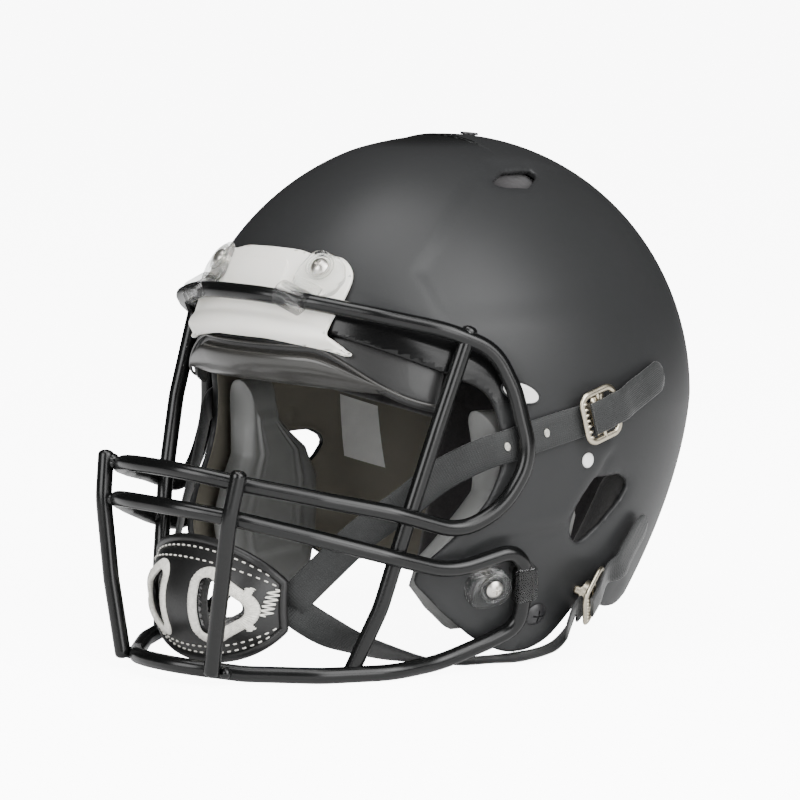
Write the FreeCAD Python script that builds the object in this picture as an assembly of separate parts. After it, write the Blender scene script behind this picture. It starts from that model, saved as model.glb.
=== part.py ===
"""American football helmet as separate pieces: shell, liner, wire face mask, clips, snaps, straps, chin cup.

While the pieces are made, the origin is the centre of the shell's ellipsoid: +Z up, -Y to the front and
+X to the wearer's left. At the end everything moves so that the origin is at the bottom centre of its box.
"""
import FreeCAD, Part
import math
import os

V = FreeCAD.Vector

# ---- shell -------------------------------------------------------------------------------------
half_width = 118.0          # outside of the shell at ear height
half_length = 142.0         # outside of the shell, front and back
crown_height = 135.0        # from ear height to the top
shell_wall = 3.6
side_drop = 185.0           # depth at which each side would close below ear height
front_drop = 200.0
rear_drop = 200.0
jaw_tip = -116.0            # lowest point of each jaw flap
nape_edge = -118.0          # lower edge at the middle of the back
fit_gap = 0.3               # between curved faces of neighbouring pieces

# ---- brow line, a slope seen from the side -------------------------------------------------------
brow_start_y = -66.0
brow_start_z = 17.0
brow_slope = 0.51

# ---- fasteners -----------------------------------------------------------------------------------
screw_radius = 2.05
screw_clearance = 0.3
screw_head_radius = 4.4
screw_head_height = 2.4
nut_flange_radius = 6.0
nut_flange_height = 1.0
nut_barrel_radius = 3.1
nut_barrel_height = 1.4
nut_standoff = 0.55         # from the wall's inside to the nut, because the wall is curved
jaw_screw_head_radius = 6.2

# ---- liner ---------------------------------------------------------------------------------------
liner_gap = 3.6             # from the wall's inside to the pads, room for nuts and rivet heads
pad_thickness = 19.0
jaw_pad_thickness = 23.0
jaw_pad_travel = 20.0

# ---- face mask -----------------------------------------------------------------------------------
wire_radius = 4.0
weld_sink = 1.4             # how far crossing wires sink into each other at a weld
clip_gap = 0.15             # around a wire inside its clip
clip_wall = 2.7
top_clip_width = 15.0
top_clip_plate = 3.0
side_clip_height = 9.5

# ---- snaps, buckles and straps -------------------------------------------------------------------
strap_width = 16.0
strap_thickness = 1.6
stud_shaft_radius = 2.2
stud_head_radius = 3.6
stud_head_height = 2.6
socket_radius = 6.5
socket_height = 3.6
socket_travel = 8.0
neck_radius = 1.4
neck_clearance = 0.08
buckle_length = 24.0
buckle_width = 26.0
buckle_bar = 2.4
buckle_plate = 1.8
lower_snap_turn = 28.0      # the lower studs face this far rearward of the shell's normal, degrees
lower_snap_lift = 3.2

# ---- chin cup ------------------------------------------------------------------------------------
cup_half_width = 46.0
cup_corner_y = -147.0
cup_depth = 31.0
cup_centre_z = -85.0
cup_corner_half_height = 10.5
cup_extra_half_height = 19.5
cup_wall = 3.6
cup_pad_thickness = 7.0


# ---- the shell's form ----------------------------------------------------------------------------
def level(z, off=0.0):
    """Half width, front and rear half lengths and the two exponents of the section at height z."""
    a = half_width + off
    b = half_length + off
    h = crown_height + off
    if z >= 0:
        k = math.sqrt(max(0.0, 1 - (z / h) ** 2))
        return a * k, b * k, b * k, 2.0, 2.0
    n = -z
    side = (1 - (n / side_drop) ** 2.2) ** (1 / 2.2)
    front = math.sqrt(1 - (n / front_drop) ** 2)
    rear = 1 - (n / rear_drop) ** 1.69
    return a * side, b * front, b * rear, 2 + 0.35 * min(n / 60, 1), 2 - 0.25 * min(n / 105, 1)


def field(p, off=0.0):
    a, front, rear, e_front, e_rear = level(p.z, off)
    if p.y < 0:
        return (abs(p.x) / a) ** e_front + (abs(p.y) / front) ** e_front
    return (abs(p.x) / a) ** e_rear + (abs(p.y) / rear) ** e_rear


def normal(p):
    d = 0.5
    gx = field(p + V(d, 0, 0)) - field(p - V(d, 0, 0))
    gy = field(p + V(0, d, 0)) - field(p - V(0, d, 0))
    gz = field(p + V(0, 0, d)) - field(p - V(0, 0, d))
    return V(gx, gy, gz).normalize()


def side_point(y, z, lift=0.0):
    """Point on the left of the shell at the given length and height, lifted along the normal."""
    a, front, rear, e_front, e_rear = level(z)
    b, e = (front, e_front) if y < 0 else (rear, e_rear)
    p = V(a * (1 - (abs(y) / b) ** e) ** (1 / e), y, z)
    return p + normal(p) * lift


def front_point(x, z, lift=0.0):
    a, front, rear, e, e_rear = level(z)
    p = V(x, -front * (1 - (abs(x) / a) ** e) ** (1 / e), z)
    return p + normal(p) * lift


def section(z, off):
    a, front, rear, e_front, e_rear = level(z, off)
    points = []
    count = 40
    for i in range(count):
        t = 2 * math.pi * i / count
        s, c = math.sin(t), math.cos(t)
        e, b = (e_rear, rear) if c >= 0 else (e_front, front)
        x = a * math.copysign(abs(s) ** (2 / e), s)
        y = b * math.copysign(abs(c) ** (2 / e), c)
        points.append(V(x, y, z))
    curve = Part.BSplineCurve()
    curve.interpolate(Points=points, PeriodicFlag=True)
    return Part.Wire([curve.toShape()])


skins = {}


def skin(off):
    """Solid bounded by the shell's form grown outwards by off."""
    if off not in skins:
        h = crown_height + off
        depth = 128.0
        heights = [-depth + depth * i / 8 for i in range(9)]
        heights += [h * math.sin(math.radians(a)) for a in (8, 17, 27, 37, 47, 57, 66, 74, 81, 86, 88.5)]
        skins[off] = Part.makeLoft([section(z, off) for z in heights], True, False)
    return skins[off]


def band(outer, inner):
    return skin(outer).cut(skin(inner))


def side_prism(points, x_low, x_high):
    """Prism along X from an outline given as (y, z) points."""
    ring = [V(x_low, y, z) for y, z in points]
    return Part.Face(Part.makePolygon(ring + ring[:1])).extrude(V(x_high - x_low, 0, 0))


def front_prism(points, y_low, y_high):
    """Prism along Y from an outline given as (x, z) points."""
    ring = [V(x, y_low, z) for x, z in points]
    return Part.Face(Part.makePolygon(ring + ring[:1])).extrude(V(0, y_high - y_low, 0))


def soften(prism, direction, radius):
    """Round the prism's long edges, those along the given direction."""
    edges = []
    for edge in prism.Edges:
        run = edge.Vertexes[-1].Point - edge.Vertexes[0].Point
        if run.Length > 0 and abs(run.normalize().dot(direction)) > 0.999:
            edges.append(edge)
    return prism.makeFillet(radius, edges)


def brow_z(y):
    return brow_start_z + brow_slope * (brow_start_y - y)


def brow_slab(low, high, half_x):
    """Slab parallel to the brow line, between two distances above it, in front of the temples."""
    rise = math.sqrt(1 + brow_slope ** 2)
    y0, y1 = brow_start_y, -190.0
    ring = [(y0, brow_z(y0) + low * rise), (y1, brow_z(y1) + low * rise)]
    ring += [(y1, brow_z(y1) + high * rise), (y0, brow_z(y0) + high * rise)]
    return side_prism(ring, -half_x, half_x)


def at(p, z_dir, x_dir):
    return FreeCAD.Placement(p, FreeCAD.Rotation(x_dir, V(0, 0, 0), z_dir, "ZXY"))


def placed(shape, placement):
    copy = shape.copy()
    copy.transformShape(placement.toMatrix(), True)
    return copy


def mirrored(shape):
    return shape.mirror(V(0, 0, 0), V(1, 0, 0))


def rod(radius, low, high):
    return Part.makeCylinder(radius, high - low, V(0, 0, low))


def both(shape):
    return Part.makeCompound([shape, mirrored(shape)])


# ---- tubes, ribbons and quilted blocks -----------------------------------------------------------
def rounded_path(points, closed, largest):
    """Straight runs joined by tangent arcs; each arc is as large as its runs allow, up to largest."""
    count = len(points)
    edges = []
    ends = []
    corners = range(count) if closed else range(1, count - 1)
    for i in corners:
        p = points[i]
        before = points[i - 1] - p
        after = points[(i + 1) % count] - p
        room = 0.45 * min(before.Length, after.Length)
        before.normalize()
        after.normalize()
        half_turn = (math.pi - before.getAngle(after)) / 2
        radius = min(largest, room / math.tan(half_turn))
        reach = radius * math.tan(half_turn)
        middle = (before + after).normalize() * (radius / math.cos(half_turn) - radius)
        start, end = p + before * reach, p + after * reach
        edges.append(Part.Arc(start, p + middle, end).toShape())
        ends.append((start, end))
    runs = []
    if closed:
        for i in range(len(ends)):
            runs.append(Part.LineSegment(ends[i - 1][1], ends[i][0]).toShape())
        ordered = [edge for pair in zip(runs, edges) for edge in pair]
    else:
        starts = [points[0]] + [pair[1] for pair in ends]
        stops = [pair[0] for pair in ends] + [points[-1]]
        for a, b in zip(starts, stops):
            runs.append(Part.LineSegment(a, b).toShape())
        ordered = [runs[0]] + [edge for pair in zip(edges, runs[1:]) for edge in pair]
    return Part.Wire(ordered)


def tube(points, radius, closed=False, largest=60.0):
    path = rounded_path(points, closed, largest)
    first = path.OrderedEdges[0]
    start = first.valueAt(first.FirstParameter)
    along = first.tangentAt(first.FirstParameter)
    ring = Part.Wire([Part.makeCircle(radius, start, along)])
    return path.makePipeShell([ring], True, False, 2)


def ribbon(points, normals, width, thickness):
    """Flat webbing along a route: four-cornered sections joined by ruled faces."""
    wires = []
    last = len(points) - 1
    for i, p in enumerate(points):
        along = (points[min(i + 1, last)] - points[max(i - 1, 0)]).normalize()
        across = along.cross(normals[i]).normalize()
        up = across.cross(along).normalize()
        w = across * (width / 2)
        t = up * (thickness / 2)
        ring = [p - w - t, p + w - t, p + w + t, p - w + t]
        wires.append(Part.makePolygon(ring + ring[:1]))
    return Part.makeLoft(wires, True, True)


def quilt(front, back):
    """Solid between two grids of points, each a smooth surface, closed by ruled sides."""
    faces = []
    borders = []
    for grid in (front, back):
        surface = Part.BSplineSurface()
        surface.interpolate(grid)
        u0, u1, v0, v1 = surface.bounds()
        borders.append([surface.uIso(u0), surface.uIso(u1), surface.vIso(v0), surface.vIso(v1)])
        faces.append(surface.toShape())
    for first, second in zip(*borders):
        faces.append(Part.makeRuledSurface(first.toShape(), second.toShape()))
    shell = Part.makeShell(faces)
    shell.sewShape(0.05)
    solid = Part.makeSolid(shell)
    if solid.Volume < 0:
        solid = Part.makeSolid(shell.reversed())
    return solid


nodes = {}


# ---- where the hardware sits, wearer's left ------------------------------------------------------
top_clip_screw = front_point(34.7, 73.4)
side_clip_screw = side_point(-63.0, -78.0)
jaw_screw_place = side_point(-33.0, -96.0)
upper_snap_place = side_point(-9.0, 3.0)
lower_snap_place = side_point(-9.0, -86.0)
upper_tail_end = (47.0, 18.0)
lower_tail_end = (36.0, -54.0)
tail_lift = {"upper": 2.4, "lower": 3.8}


def frame_at(p, along):
    """Placement with local Z outwards from the shell and local X along the given direction."""
    return at(p, normal(p), along)


top_clip_frame = frame_at(top_clip_screw, V(-0.17, -0.64, -0.75))
side_clip_frame = frame_at(side_clip_screw, V(0.3, 0.9, 0.12))
jaw_screw_frame = frame_at(jaw_screw_place, V(0, 1, 0))
upper_snap_frame = frame_at(upper_snap_place, V(0, 0.966, 0.26))
lower_normal = FreeCAD.Rotation(V(0, 0, 1), lower_snap_turn).multVec(normal(lower_snap_place))
lower_wall_frame = frame_at(lower_snap_place, V(0, 0.8, 0.6))
lower_snap_frame = at(lower_snap_place + lower_normal * lower_snap_lift, lower_normal, V(0, 0.8, 0.6))
badge_place = side_point(-51.0, 16.0)
ear_hole_place = side_point(-12.0, -20.0)


# ---- face mask wires -----------------------------------------------------------------------------
def loop(left_half, largest):
    """Closed wire symmetric about the middle plane, from its left half listed front middle first."""
    right = [V(-p.x, p.y, p.z) for p in reversed(left_half)]
    return tube(left_half + right, wire_radius, True, largest)


brow_half = [V(14, -136.5, 63.5), V(42, -128, 60.8), V(72, -110, 55), V(96, -87, 48), V(107, -66, 38)]
temple_half = [V(113, -58.5, 18), V(118.8, -53, -15), V(113.4, -66.6, -38), V(104, -86, -49)]
mouth_half = [V(92, -118, -38), V(72, -146, -30.8), V(46, -174.5, -23), V(20, -191, -17.3)]
upper_loop_half = brow_half + temple_half + mouth_half

mid_half = [V(20, -193, -35.2), V(45, -177.5, -39.6), V(70, -149, -49), V(90, -119.5, -59)]
mid_half += [V(100.5, -89, -68.5)]
clip_half = [V(112.5, -57, -60), V(112, -48.5, -73), V(104.5, -47, -100)]
bottom_half = [V(97, -61, -107), V(87.5, -84, -115.3), V(84, -112, -117), V(66, -142, -117.2)]
bottom_half += [V(40, -169, -116.2), V(16, -189.5, -112.8)]
lower_loop_half = mid_half + clip_half + bottom_half

weld_reach = 2 * wire_radius - weld_sink
front_bar_line = [V(45.2, -175, -17.5), V(42.8, -178.9, -38.5), V(36.5, -179.6, -78), V(29, -178.8, -114.5)]
side_bar_line = [V(105, -80.5, 47.5), V(101, -99, 0), V(95, -112, -42), V(87, -122.5, -85)]
side_bar_line += [V(76, -131.5, -116)]
front_bar = tube([p + V(0.62, -0.78, 0) * weld_reach for p in front_bar_line], wire_radius)
side_bar = tube([p - V(0.78, -0.62, 0) * weld_reach for p in side_bar_line], wire_radius)
upper_loop = loop(upper_loop_half, 45.0)
lower_loop = loop(lower_loop_half, 45.0)
nodes["mask_upper_loop"] = upper_loop
nodes["mask_lower_loop"] = lower_loop
nodes["mask_front_bars"] = both(front_bar)
nodes["mask_side_bars"] = both(side_bar)


# ---- shell ---------------------------------------------------------------------------------------
def shell_outline():
    """Side view of what stays of the hollow form: brow, temple, jaw flap, neck rim and round the back."""
    ring = [(brow_start_y, brow_start_z), (-61, 0), (-60, -18), (-68, -36), (-81, -49), (-97, -68)]
    ring += [(-98, -75), (-83, -91), (-65, -106), (-46, jaw_tip + 1), (-32, jaw_tip), (-20, -111)]
    ring += [(-7, -94), (2, -89), (15, -99), (34, -101), (49, -98), (100, nape_edge), (180, nape_edge)]
    ring += [(180, 170), (-190, 170), (-190, brow_z(-190))]
    return ring


vent_outline = [(-6, -30), (13, -30), (23, -35), (16, -43), (1, -54), (-13, -63), (-20, -56), (-15, -40)]
top_vent_outline = [(59, -20), (53, -5), (52, 18), (57, 15), (65, 1), (63, -12)]


def shell_solid():
    body = band(0.0, -shell_wall)
    body = body.common(side_prism(shell_outline(), -150, 150))
    vent = soften(side_prism(vent_outline, 90, 150), V(1, 0, 0), 2.0)
    ring = [V(x, y, 90) for x, y in top_vent_outline]
    top_vent = Part.Face(Part.makePolygon(ring + ring[:1])).extrude(V(0, 0, 60))
    top_vent = soften(top_vent, V(0, 0, 1), 2.0)
    hole = rod(screw_radius + screw_clearance, -10, 10)
    stud_hole = rod(stud_shaft_radius + screw_clearance, -12, 10)
    ear_hole = rod(3.2, -10, 10)
    cuts = [vent, top_vent, placed(ear_hole, frame_at(ear_hole_place, V(0, 1, 0)))]
    cuts += [placed(hole, f) for f in (top_clip_frame, side_clip_frame, jaw_screw_frame)]
    cuts += [placed(stud_hole, f) for f in (upper_snap_frame, lower_wall_frame)]
    return body.cut(cuts + [mirrored(c) for c in cuts])


nodes["shell"] = shell_solid()


# ---- front bumper, nameplate and badges ----------------------------------------------------------
bumper_thickness = 2.7
bumper_lip_half = 50.0
bumper_half = [(4, 84.6), (28, 82.5), (41, 81.5), (49, 76), (52.6, 71), (53, 61), (51, 53), (51, 45)]
bumper_half += [(57, 39)]
bumper_half += [(66, 34), (62, 33.4), (52, 36.5), (36, 39), (19, 41), (5, 41.4)]


def bumper_prism():
    """Prism along Y of the bumper's smooth outline, from its left half listed from the top middle down."""
    ring = bumper_half + [(-x, z) for x, z in reversed(bumper_half)]
    curve = Part.BSplineCurve()
    curve.interpolate(Points=[V(x, -175, z) for x, z in ring], PeriodicFlag=True)
    return Part.Face(Part.Wire([curve.toShape()])).extrude(V(0, 115, 0))


def front_bumper():
    plate = band(fit_gap + bumper_thickness, fit_gap).common(bumper_prism())
    lip = band(fit_gap + bumper_thickness, -shell_wall - 1.6)
    lip = lip.common(brow_slab(-3.2, -fit_gap, bumper_lip_half))
    lip = lip.common(Part.makeBox(2 * bumper_lip_half, 120, 120, V(-bumper_lip_half, -190, -20)))
    hole = placed(rod(screw_radius + screw_clearance, -10, 10), top_clip_frame)
    return plate.fuse(lip).cut([hole, mirrored(hole)])


def nameplate():
    outline = [(-19, 63), (19, 63), (17, 79), (-17, 79)]
    prism = soften(front_prism(outline, -170, -60), V(0, 1, 0), 3.0)
    low = 2 * fit_gap + bumper_thickness
    return band(low + 0.9, low).common(prism)


nodes["front_bumper"] = front_bumper()
nodes["front_nameplate"] = nameplate()


def badge(frame):
    plate = Part.Face(Part.Wire([Part.Ellipse(V(0, 0, 0), 10.2, 4.6).toShape()])).extrude(V(0, 0, 30))
    plate.translate(V(0, 0, -15))
    return band(fit_gap + 0.8, fit_gap).common(placed(plate, frame))


badge_frame = frame_at(badge_place, V(0, 0.9, -0.35))
nodes["side_badges"] = both(badge(badge_frame))


# ---- clips, screws and nuts ----------------------------------------------------------------------
clip_seat = 2 * fit_gap + bumper_thickness


def top_clip():
    """Clear strap that lies on the bumper under its screw and loops round the brow bar."""
    bar = V(34.7, -131.0, 61.9)
    local = top_clip_frame.inverse().multVec(bar)
    outer = wire_radius + clip_gap + clip_wall
    half = top_clip_width / 2
    plate = Part.makeBox(local.x + 9, top_clip_width, top_clip_plate, V(-9, -half, clip_seat))
    ear = Part.makeCylinder(outer, top_clip_width, V(local.x, -half, local.z), V(0, 1, 0))
    web_start = local.x - outer - 6
    web = Part.makeBox(outer + 6, top_clip_width, local.z - clip_seat, V(web_start, -half, clip_seat))
    relief_place = V(web_start, -half, clip_seat + top_clip_plate + 5.0)
    relief = Part.makeCylinder(5.0, top_clip_width, relief_place, V(0, 1, 0))
    body = plate.fuse([ear, web]).cut(relief).removeSplitter()
    body = body.cut(rod(screw_radius + screw_clearance, -1, 14))
    body = placed(body, top_clip_frame)
    channel = tube(upper_loop_half[:3], wire_radius + clip_gap)
    return body.cut([channel, skin(clip_seat)])


def side_clip():
    """Clear block screwed to the jaw flap that holds the lower loop where it turns down."""
    outline = [(-9, -9), (7, -10.5), (19, -9), (22, -6), (22, 6), (19, 9), (7, 9.5), (-9, 8)]
    ring = [V(x, y, -8) for x, y in outline]
    block = Part.Face(Part.makePolygon(ring + ring[:1])).extrude(V(0, 0, 8 + side_clip_height))
    block = soften(block, V(0, 0, 1), 3.0)
    hole = rod(screw_radius + screw_clearance, -9, 20)
    recess = rod(screw_head_radius + 0.6, side_clip_height - 4.0, 20)
    block = placed(block.cut([hole, recess]), side_clip_frame)
    channel = tube(lower_loop_half[3:9], wire_radius + clip_gap, False, 45.0)
    return block.cut([channel, skin(fit_gap)])


def screw(head_base, head_radius, tip):
    """Pan head with a cross recess over a plain shank, head seated at head_base."""
    head = Part.makeSphere(head_radius * 1.35, V(0, 0, head_base + screw_head_height - head_radius * 1.35))
    head = head.common(rod(head_radius, head_base, head_base + screw_head_height))
    slot = Part.makeBox(head_radius, 1.0, 2.0, V(-head_radius / 2, -0.5, head_base + screw_head_height - 1.2))
    turned = slot.copy()
    turned.rotate(V(0, 0, 0), V(0, 0, 1), 90)
    return head.fuse(rod(screw_radius, tip, head_base + 0.2)).cut([slot, turned]).removeSplitter()


def nut():
    top = -shell_wall - nut_standoff
    flange = rod(nut_flange_radius, top - nut_flange_height, top)
    barrel = rod(nut_barrel_radius, top - nut_flange_height - nut_barrel_height, top)
    return flange.fuse(barrel).cut(rod(screw_radius + 0.05, -20, 0)).removeSplitter()


screw_tip = -shell_wall - nut_standoff - nut_flange_height - nut_barrel_height + 0.2
nodes["top_clip_left"] = top_clip()
nodes["top_clip_right"] = mirrored(nodes["top_clip_left"])
nodes["side_clip_left"] = side_clip()
nodes["side_clip_right"] = mirrored(nodes["side_clip_left"])
top_screw = placed(screw(clip_seat + top_clip_plate + 0.05, screw_head_radius, screw_tip), top_clip_frame)
side_screw = placed(screw(side_clip_height - 3.95, screw_head_radius, screw_tip), side_clip_frame)
jaw_screw = placed(screw(0.6, jaw_screw_head_radius, screw_tip), jaw_screw_frame)
nodes["top_clip_screws"] = both(top_screw)
nodes["side_clip_screws"] = both(side_screw)
nodes["jaw_pad_screws"] = both(jaw_screw)
nuts = [placed(nut(), f) for f in (top_clip_frame, side_clip_frame, jaw_screw_frame)]
nodes["mask_nuts"] = Part.makeCompound([both(n) for n in nuts[:2]])
nodes["jaw_pad_nuts"] = both(nuts[2])


# ---- snap studs, sockets and buckles -------------------------------------------------------------
def stud(frame, wall_frame, base):
    """Rivet through the wall: grooved ball head outside, in its own frame, and flat head inside the wall."""
    inside_top = -shell_wall - nut_standoff
    through = rod(stud_shaft_radius, inside_top - 0.9, 0.6).fuse(rod(5.2, inside_top - 0.9, inside_top))
    shaft = rod(stud_shaft_radius, base, 1.2)
    collar = rod(stud_head_radius - 0.2, max(base, -0.8) + 0.35, 0.9)
    ball = Part.makeSphere(stud_head_radius, V(0, 0, 1.2))
    ball = ball.common(rod(stud_head_radius, 1.2, 1.2 + stud_head_height))
    throat = rod(stud_head_radius - 0.9, 0.8, 1.3)
    outside = shaft.fuse([collar, throat, ball])
    return placed(outside, frame).fuse(placed(through, wall_frame)).removeSplitter()


socket_base = 1.0


def socket():
    bore = stud_head_radius + fit_gap
    top = socket_base + socket_height
    cup = rod(socket_radius, socket_base, top).cut(rod(bore, socket_base - 1, top - 0.8))
    lip = Part.makeTorus(socket_radius - 0.9, 0.9, V(0, 0, socket_base + 0.9))
    lip = lip.cut(rod(bore, 0, 10))
    plate_top = top + 0.3 + 0.9
    neck = rod(neck_radius, top - 0.2, plate_top + 0.2)
    head = rod(2.6, plate_top + 0.2, plate_top + 0.9)
    return cup.fuse([lip, neck, head]).removeSplitter()


def buckle():
    top = socket_base + socket_height
    low = top + 0.3
    corner = V(-buckle_length / 2, -buckle_width / 2, low)
    outline = Part.makeBox(buckle_length, buckle_width, buckle_plate, corner)
    outline = soften(outline, V(0, 0, 1), 3.5)
    window_x, window_y = buckle_length - 2 * buckle_bar, buckle_width - 2 * buckle_bar
    window = Part.makeBox(window_x, window_y, 20, V(-window_x / 2, -window_y / 2, 0))
    window = soften(window, V(0, 0, 1), 1.5)
    frame = outline.cut(window)
    strip = Part.makeBox(9.0, window_y + 0.6, 0.9, V(-4.5, -window_y / 2 - 0.3, low))
    teeth = []
    count = 8
    for i in range(count):
        y = -window_y / 2 + window_y * (i + 0.5) / count
        tooth = Part.makeBox(1.4, 1.0, buckle_plate * 0.6, V(-window_x / 2 - 0.1, y - 0.5, low + 0.4))
        teeth.append(tooth)
    body = frame.fuse([strip] + teeth).removeSplitter()
    return body.cut(rod(neck_radius + neck_clearance, 0, 20))


def webbing_in_buckle(frame, end_y, end_z, clear):
    """Tail of the webbing: over the buckle's window, out under its end bar and along the shell."""
    low = socket_base + socket_height + 0.3
    inside = [(-buckle_length / 2 + 4.2, low + 3.4), (2, low + 3.6), (7.5, low + 3.2)]
    points = [frame.multVec(V(x, 0, z)) for x, z in inside]
    normals = [frame.Rotation.multVec(V(0, 0, 1))] * 3
    out = frame.multVec(V(buckle_length / 2 + 3, 0, low + 2.2 + buckle_plate))
    points.append(out)
    normals.append(normals[0])
    steps = 5
    for i in range(1, steps + 1):
        k = i / steps
        y = out.y + (end_y - out.y) * k
        z = out.z + (end_z - out.z) * k
        surface = side_point(y, z)
        lift = clear + (1 - k) ** 2 * 5.0
        points.append(surface + normal(surface) * lift)
        normals.append(normal(surface))
    return ribbon(points, normals, strap_width, strap_thickness)


studs = [stud(upper_snap_frame, upper_snap_frame, 0.0)]
studs.append(stud(lower_snap_frame, lower_wall_frame, -lower_snap_lift))
nodes["snap_studs"] = Part.makeCompound([both(s) for s in studs])
snap_places = (("upper", upper_snap_frame, upper_tail_end), ("lower", lower_snap_frame, lower_tail_end))
for name, frame, tail in snap_places:
    pieces = {"snap_socket_" + name: placed(socket(), frame)}
    pieces["buckle_" + name] = placed(buckle(), frame)
    pieces["strap_tail_" + name] = webbing_in_buckle(frame, tail[0], tail[1], tail_lift[name])
    for key, shape in pieces.items():
        nodes[key + "_left"] = shape
        nodes[key + "_right"] = mirrored(shape)


# ---- straps from the chin cup to the buckles ------------------------------------------------------
def strap_to(frame, route, directions):
    """Webbing along the route, ending flat under the buckle's toothed bar."""
    stop = frame.multVec(V(-buckle_length / 2 - 3.0, 0, 1.4))
    facing = frame.Rotation.multVec(V(0, 0, 1))
    return ribbon(route + [stop], directions + [facing], strap_width, strap_thickness)


upper_route = [V(51, -137, -70), V(65.5, -116, -51.5), V(77, -100, -38), V(88.5, -85, -23.5)]
upper_route += [V(101.5, -70.5, -13.5)]
upper_facing = [V(0.75, -0.6, 0.15), V(0.78, -0.6, 0.15), V(0.8, -0.58, 0.1), V(0.84, -0.52, 0.05)]
upper_facing += [V(0.88, -0.46, 0)]
for y, z, rise in ((-60.0, -9.5, 1.1), (-51.0, -7.0, 0.8), (-40.0, -4.3, 0.6)):
    spot = side_point(y, z)
    upper_route.append(spot + normal(spot) * (fit_gap + rise + strap_thickness / 2))
    upper_facing.append(normal(spot))
nodes["strap_upper_left"] = strap_to(upper_snap_frame, upper_route, upper_facing)
nodes["strap_upper_right"] = mirrored(nodes["strap_upper_left"])

lower_route = [V(51, -136, -96), V(59, -116, -105), V(66, -98, -112), V(72, -82, -116.5), V(78, -67, -118.6)]
lower_facing = [V(0.7, -0.6, -0.2), V(0.55, -0.5, -0.6), V(0.4, -0.35, -0.85), V(0.2, -0.15, -0.97)]
lower_facing += [V(0, 0, -1)]
lower_route += [V(84, -50, -119.2), V(90, -33, -119.2), V(98, -17, -115.5), V(104.5, -11, -106)]
lower_facing += [V(0, 0, -1), V(0, 0.1, -1), V(0.35, 0.55, -0.75), V(0.6, 0.65, -0.4)]
nodes["strap_lower_left"] = strap_to(lower_snap_frame, lower_route, lower_facing)
nodes["strap_lower_right"] = mirrored(nodes["strap_lower_left"])


# ---- chin cup ------------------------------------------------------------------------------------
def cup_point(s, t, depth):
    """Point of the cup: s runs across from -1 to 1, t up from -1 to 1, depth goes inwards."""
    half_height = cup_corner_half_height + cup_extra_half_height * (1 - s * s)
    angle = s * math.radians(72)
    x = (cup_half_width - depth) * math.sin(angle) / math.sin(math.radians(72))
    bow = (1 - s * s) * (cup_depth - 0.52 * cup_depth * t * t)
    return V(x, cup_corner_y - bow + depth * (1 - 0.4 * s * s), cup_centre_z + half_height * t)


def cup_layer(low, high, reach):
    spread = [i / 6 for i in range(-6, 7)]
    rise = [i / 3 for i in range(-3, 4)]
    front = [[cup_point(s * reach, t * reach, low) for t in rise] for s in spread]
    back = [[cup_point(s * reach, t * reach, high) for t in rise] for s in spread]
    return quilt(front, back)


def cup_vents(grow):
    outline = [(8 - grow, -70 + grow), (8 - grow, -101 - grow), (36 + grow, -86)]
    prism = soften(front_prism(outline, -200, -120), V(0, 1, 0), 4.0 + grow)
    return [prism, mirrored(prism)]


nodes["chin_cup"] = cup_layer(0.0, cup_wall, 1.0).cut(cup_vents(0.0))
cup_pad_depth = cup_wall + fit_gap
nodes["chin_cup_pad"] = cup_layer(cup_pad_depth, cup_pad_depth + cup_pad_thickness, 0.88).cut(cup_vents(-2.0))


# ---- liner ---------------------------------------------------------------------------------------
pad_outer = -shell_wall - liner_gap
pad_band = band(pad_outer, pad_outer - pad_thickness)


def wedge(start, end, low, high, far=170.0):
    """Upright wedge between two directions, degrees from the rear towards the left, and two heights."""
    steps = 4
    ring = [V(0, 0, low)]
    for i in range(steps + 1):
        a = math.radians(start + (end - start) * i / steps)
        ring.append(V(far * math.sin(a), far * math.cos(a), low))
    return Part.Face(Part.makePolygon(ring + ring[:1])).extrude(V(0, 0, high - low))


def crown_pads():
    """Seven cells under the crown: a round one in the middle and six around it."""
    middle = pad_band.common(Part.makeCylinder(24, 80, V(0, 4, 70)))
    ring = Part.makeCylinder(66, 80, V(0, 4, 70)).cut(Part.makeCylinder(26, 80, V(0, 4, 70)))
    cells = []
    for i in range(6):
        piece = wedge(60 * i + 2, 60 * i + 58, 70, 150)
        piece.translate(V(0, 4, 0))
        cells.append(pad_band.common(ring.common(piece)))
    return Part.makeCompound([middle] + cells)


nodes["crown_pads"] = crown_pads()
side_pad = pad_band.common(wedge(46, 104, -16, 66))
nodes["side_pad_left"] = side_pad
nodes["side_pad_right"] = mirrored(side_pad)
nodes["back_pad"] = pad_band.common(wedge(-43, 43, 2, 66))
nodes["neck_pad"] = pad_band.common(wedge(-43, 43, -108, -2))
front_zone = brow_slab(-9, 60, 62).common(Part.makeBox(124, 130, 77, V(-62, -190, -10)))
nodes["front_pad"] = pad_band.common(front_zone)


def jaw_pad():
    """Cushion inside the jaw flap, following it on one side and the cheek on the other."""
    rows = [-104, -92, -80, -66, -50, -34, -18, 4]
    fronts = [-62, -74, -82, -80, -68, -57, -53, -49]
    backs = [-24, -14, -7, -3, -1, -8, -29, -36]
    grids = []
    for inset in (shell_wall + liner_gap, shell_wall + liner_gap + jaw_pad_thickness):
        grid = []
        for z, y0, y1 in zip(rows, fronts, backs):
            line = []
            for i in range(6):
                y = y0 + (y1 - y0) * i / 5
                spot = side_point(y, z)
                line.append(V(spot.x - inset - 1.0, y, z))
            grid.append(line)
        grids.append(grid)
    return quilt(grids[0], grids[1])


nodes["jaw_pad_left"] = jaw_pad()
nodes["jaw_pad_right"] = mirrored(nodes["jaw_pad_left"])


# ---- inflation valves in the crown ---------------------------------------------------------------
def valve():
    rim = rod(4.6, fit_gap, 1.4).cut(rod(1.6, -5, 5))
    stem = rod(3.2, pad_outer + 0.6, fit_gap + 0.1).cut(rod(1.6, -20, 5))
    return rim.fuse(stem).removeSplitter()


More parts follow.
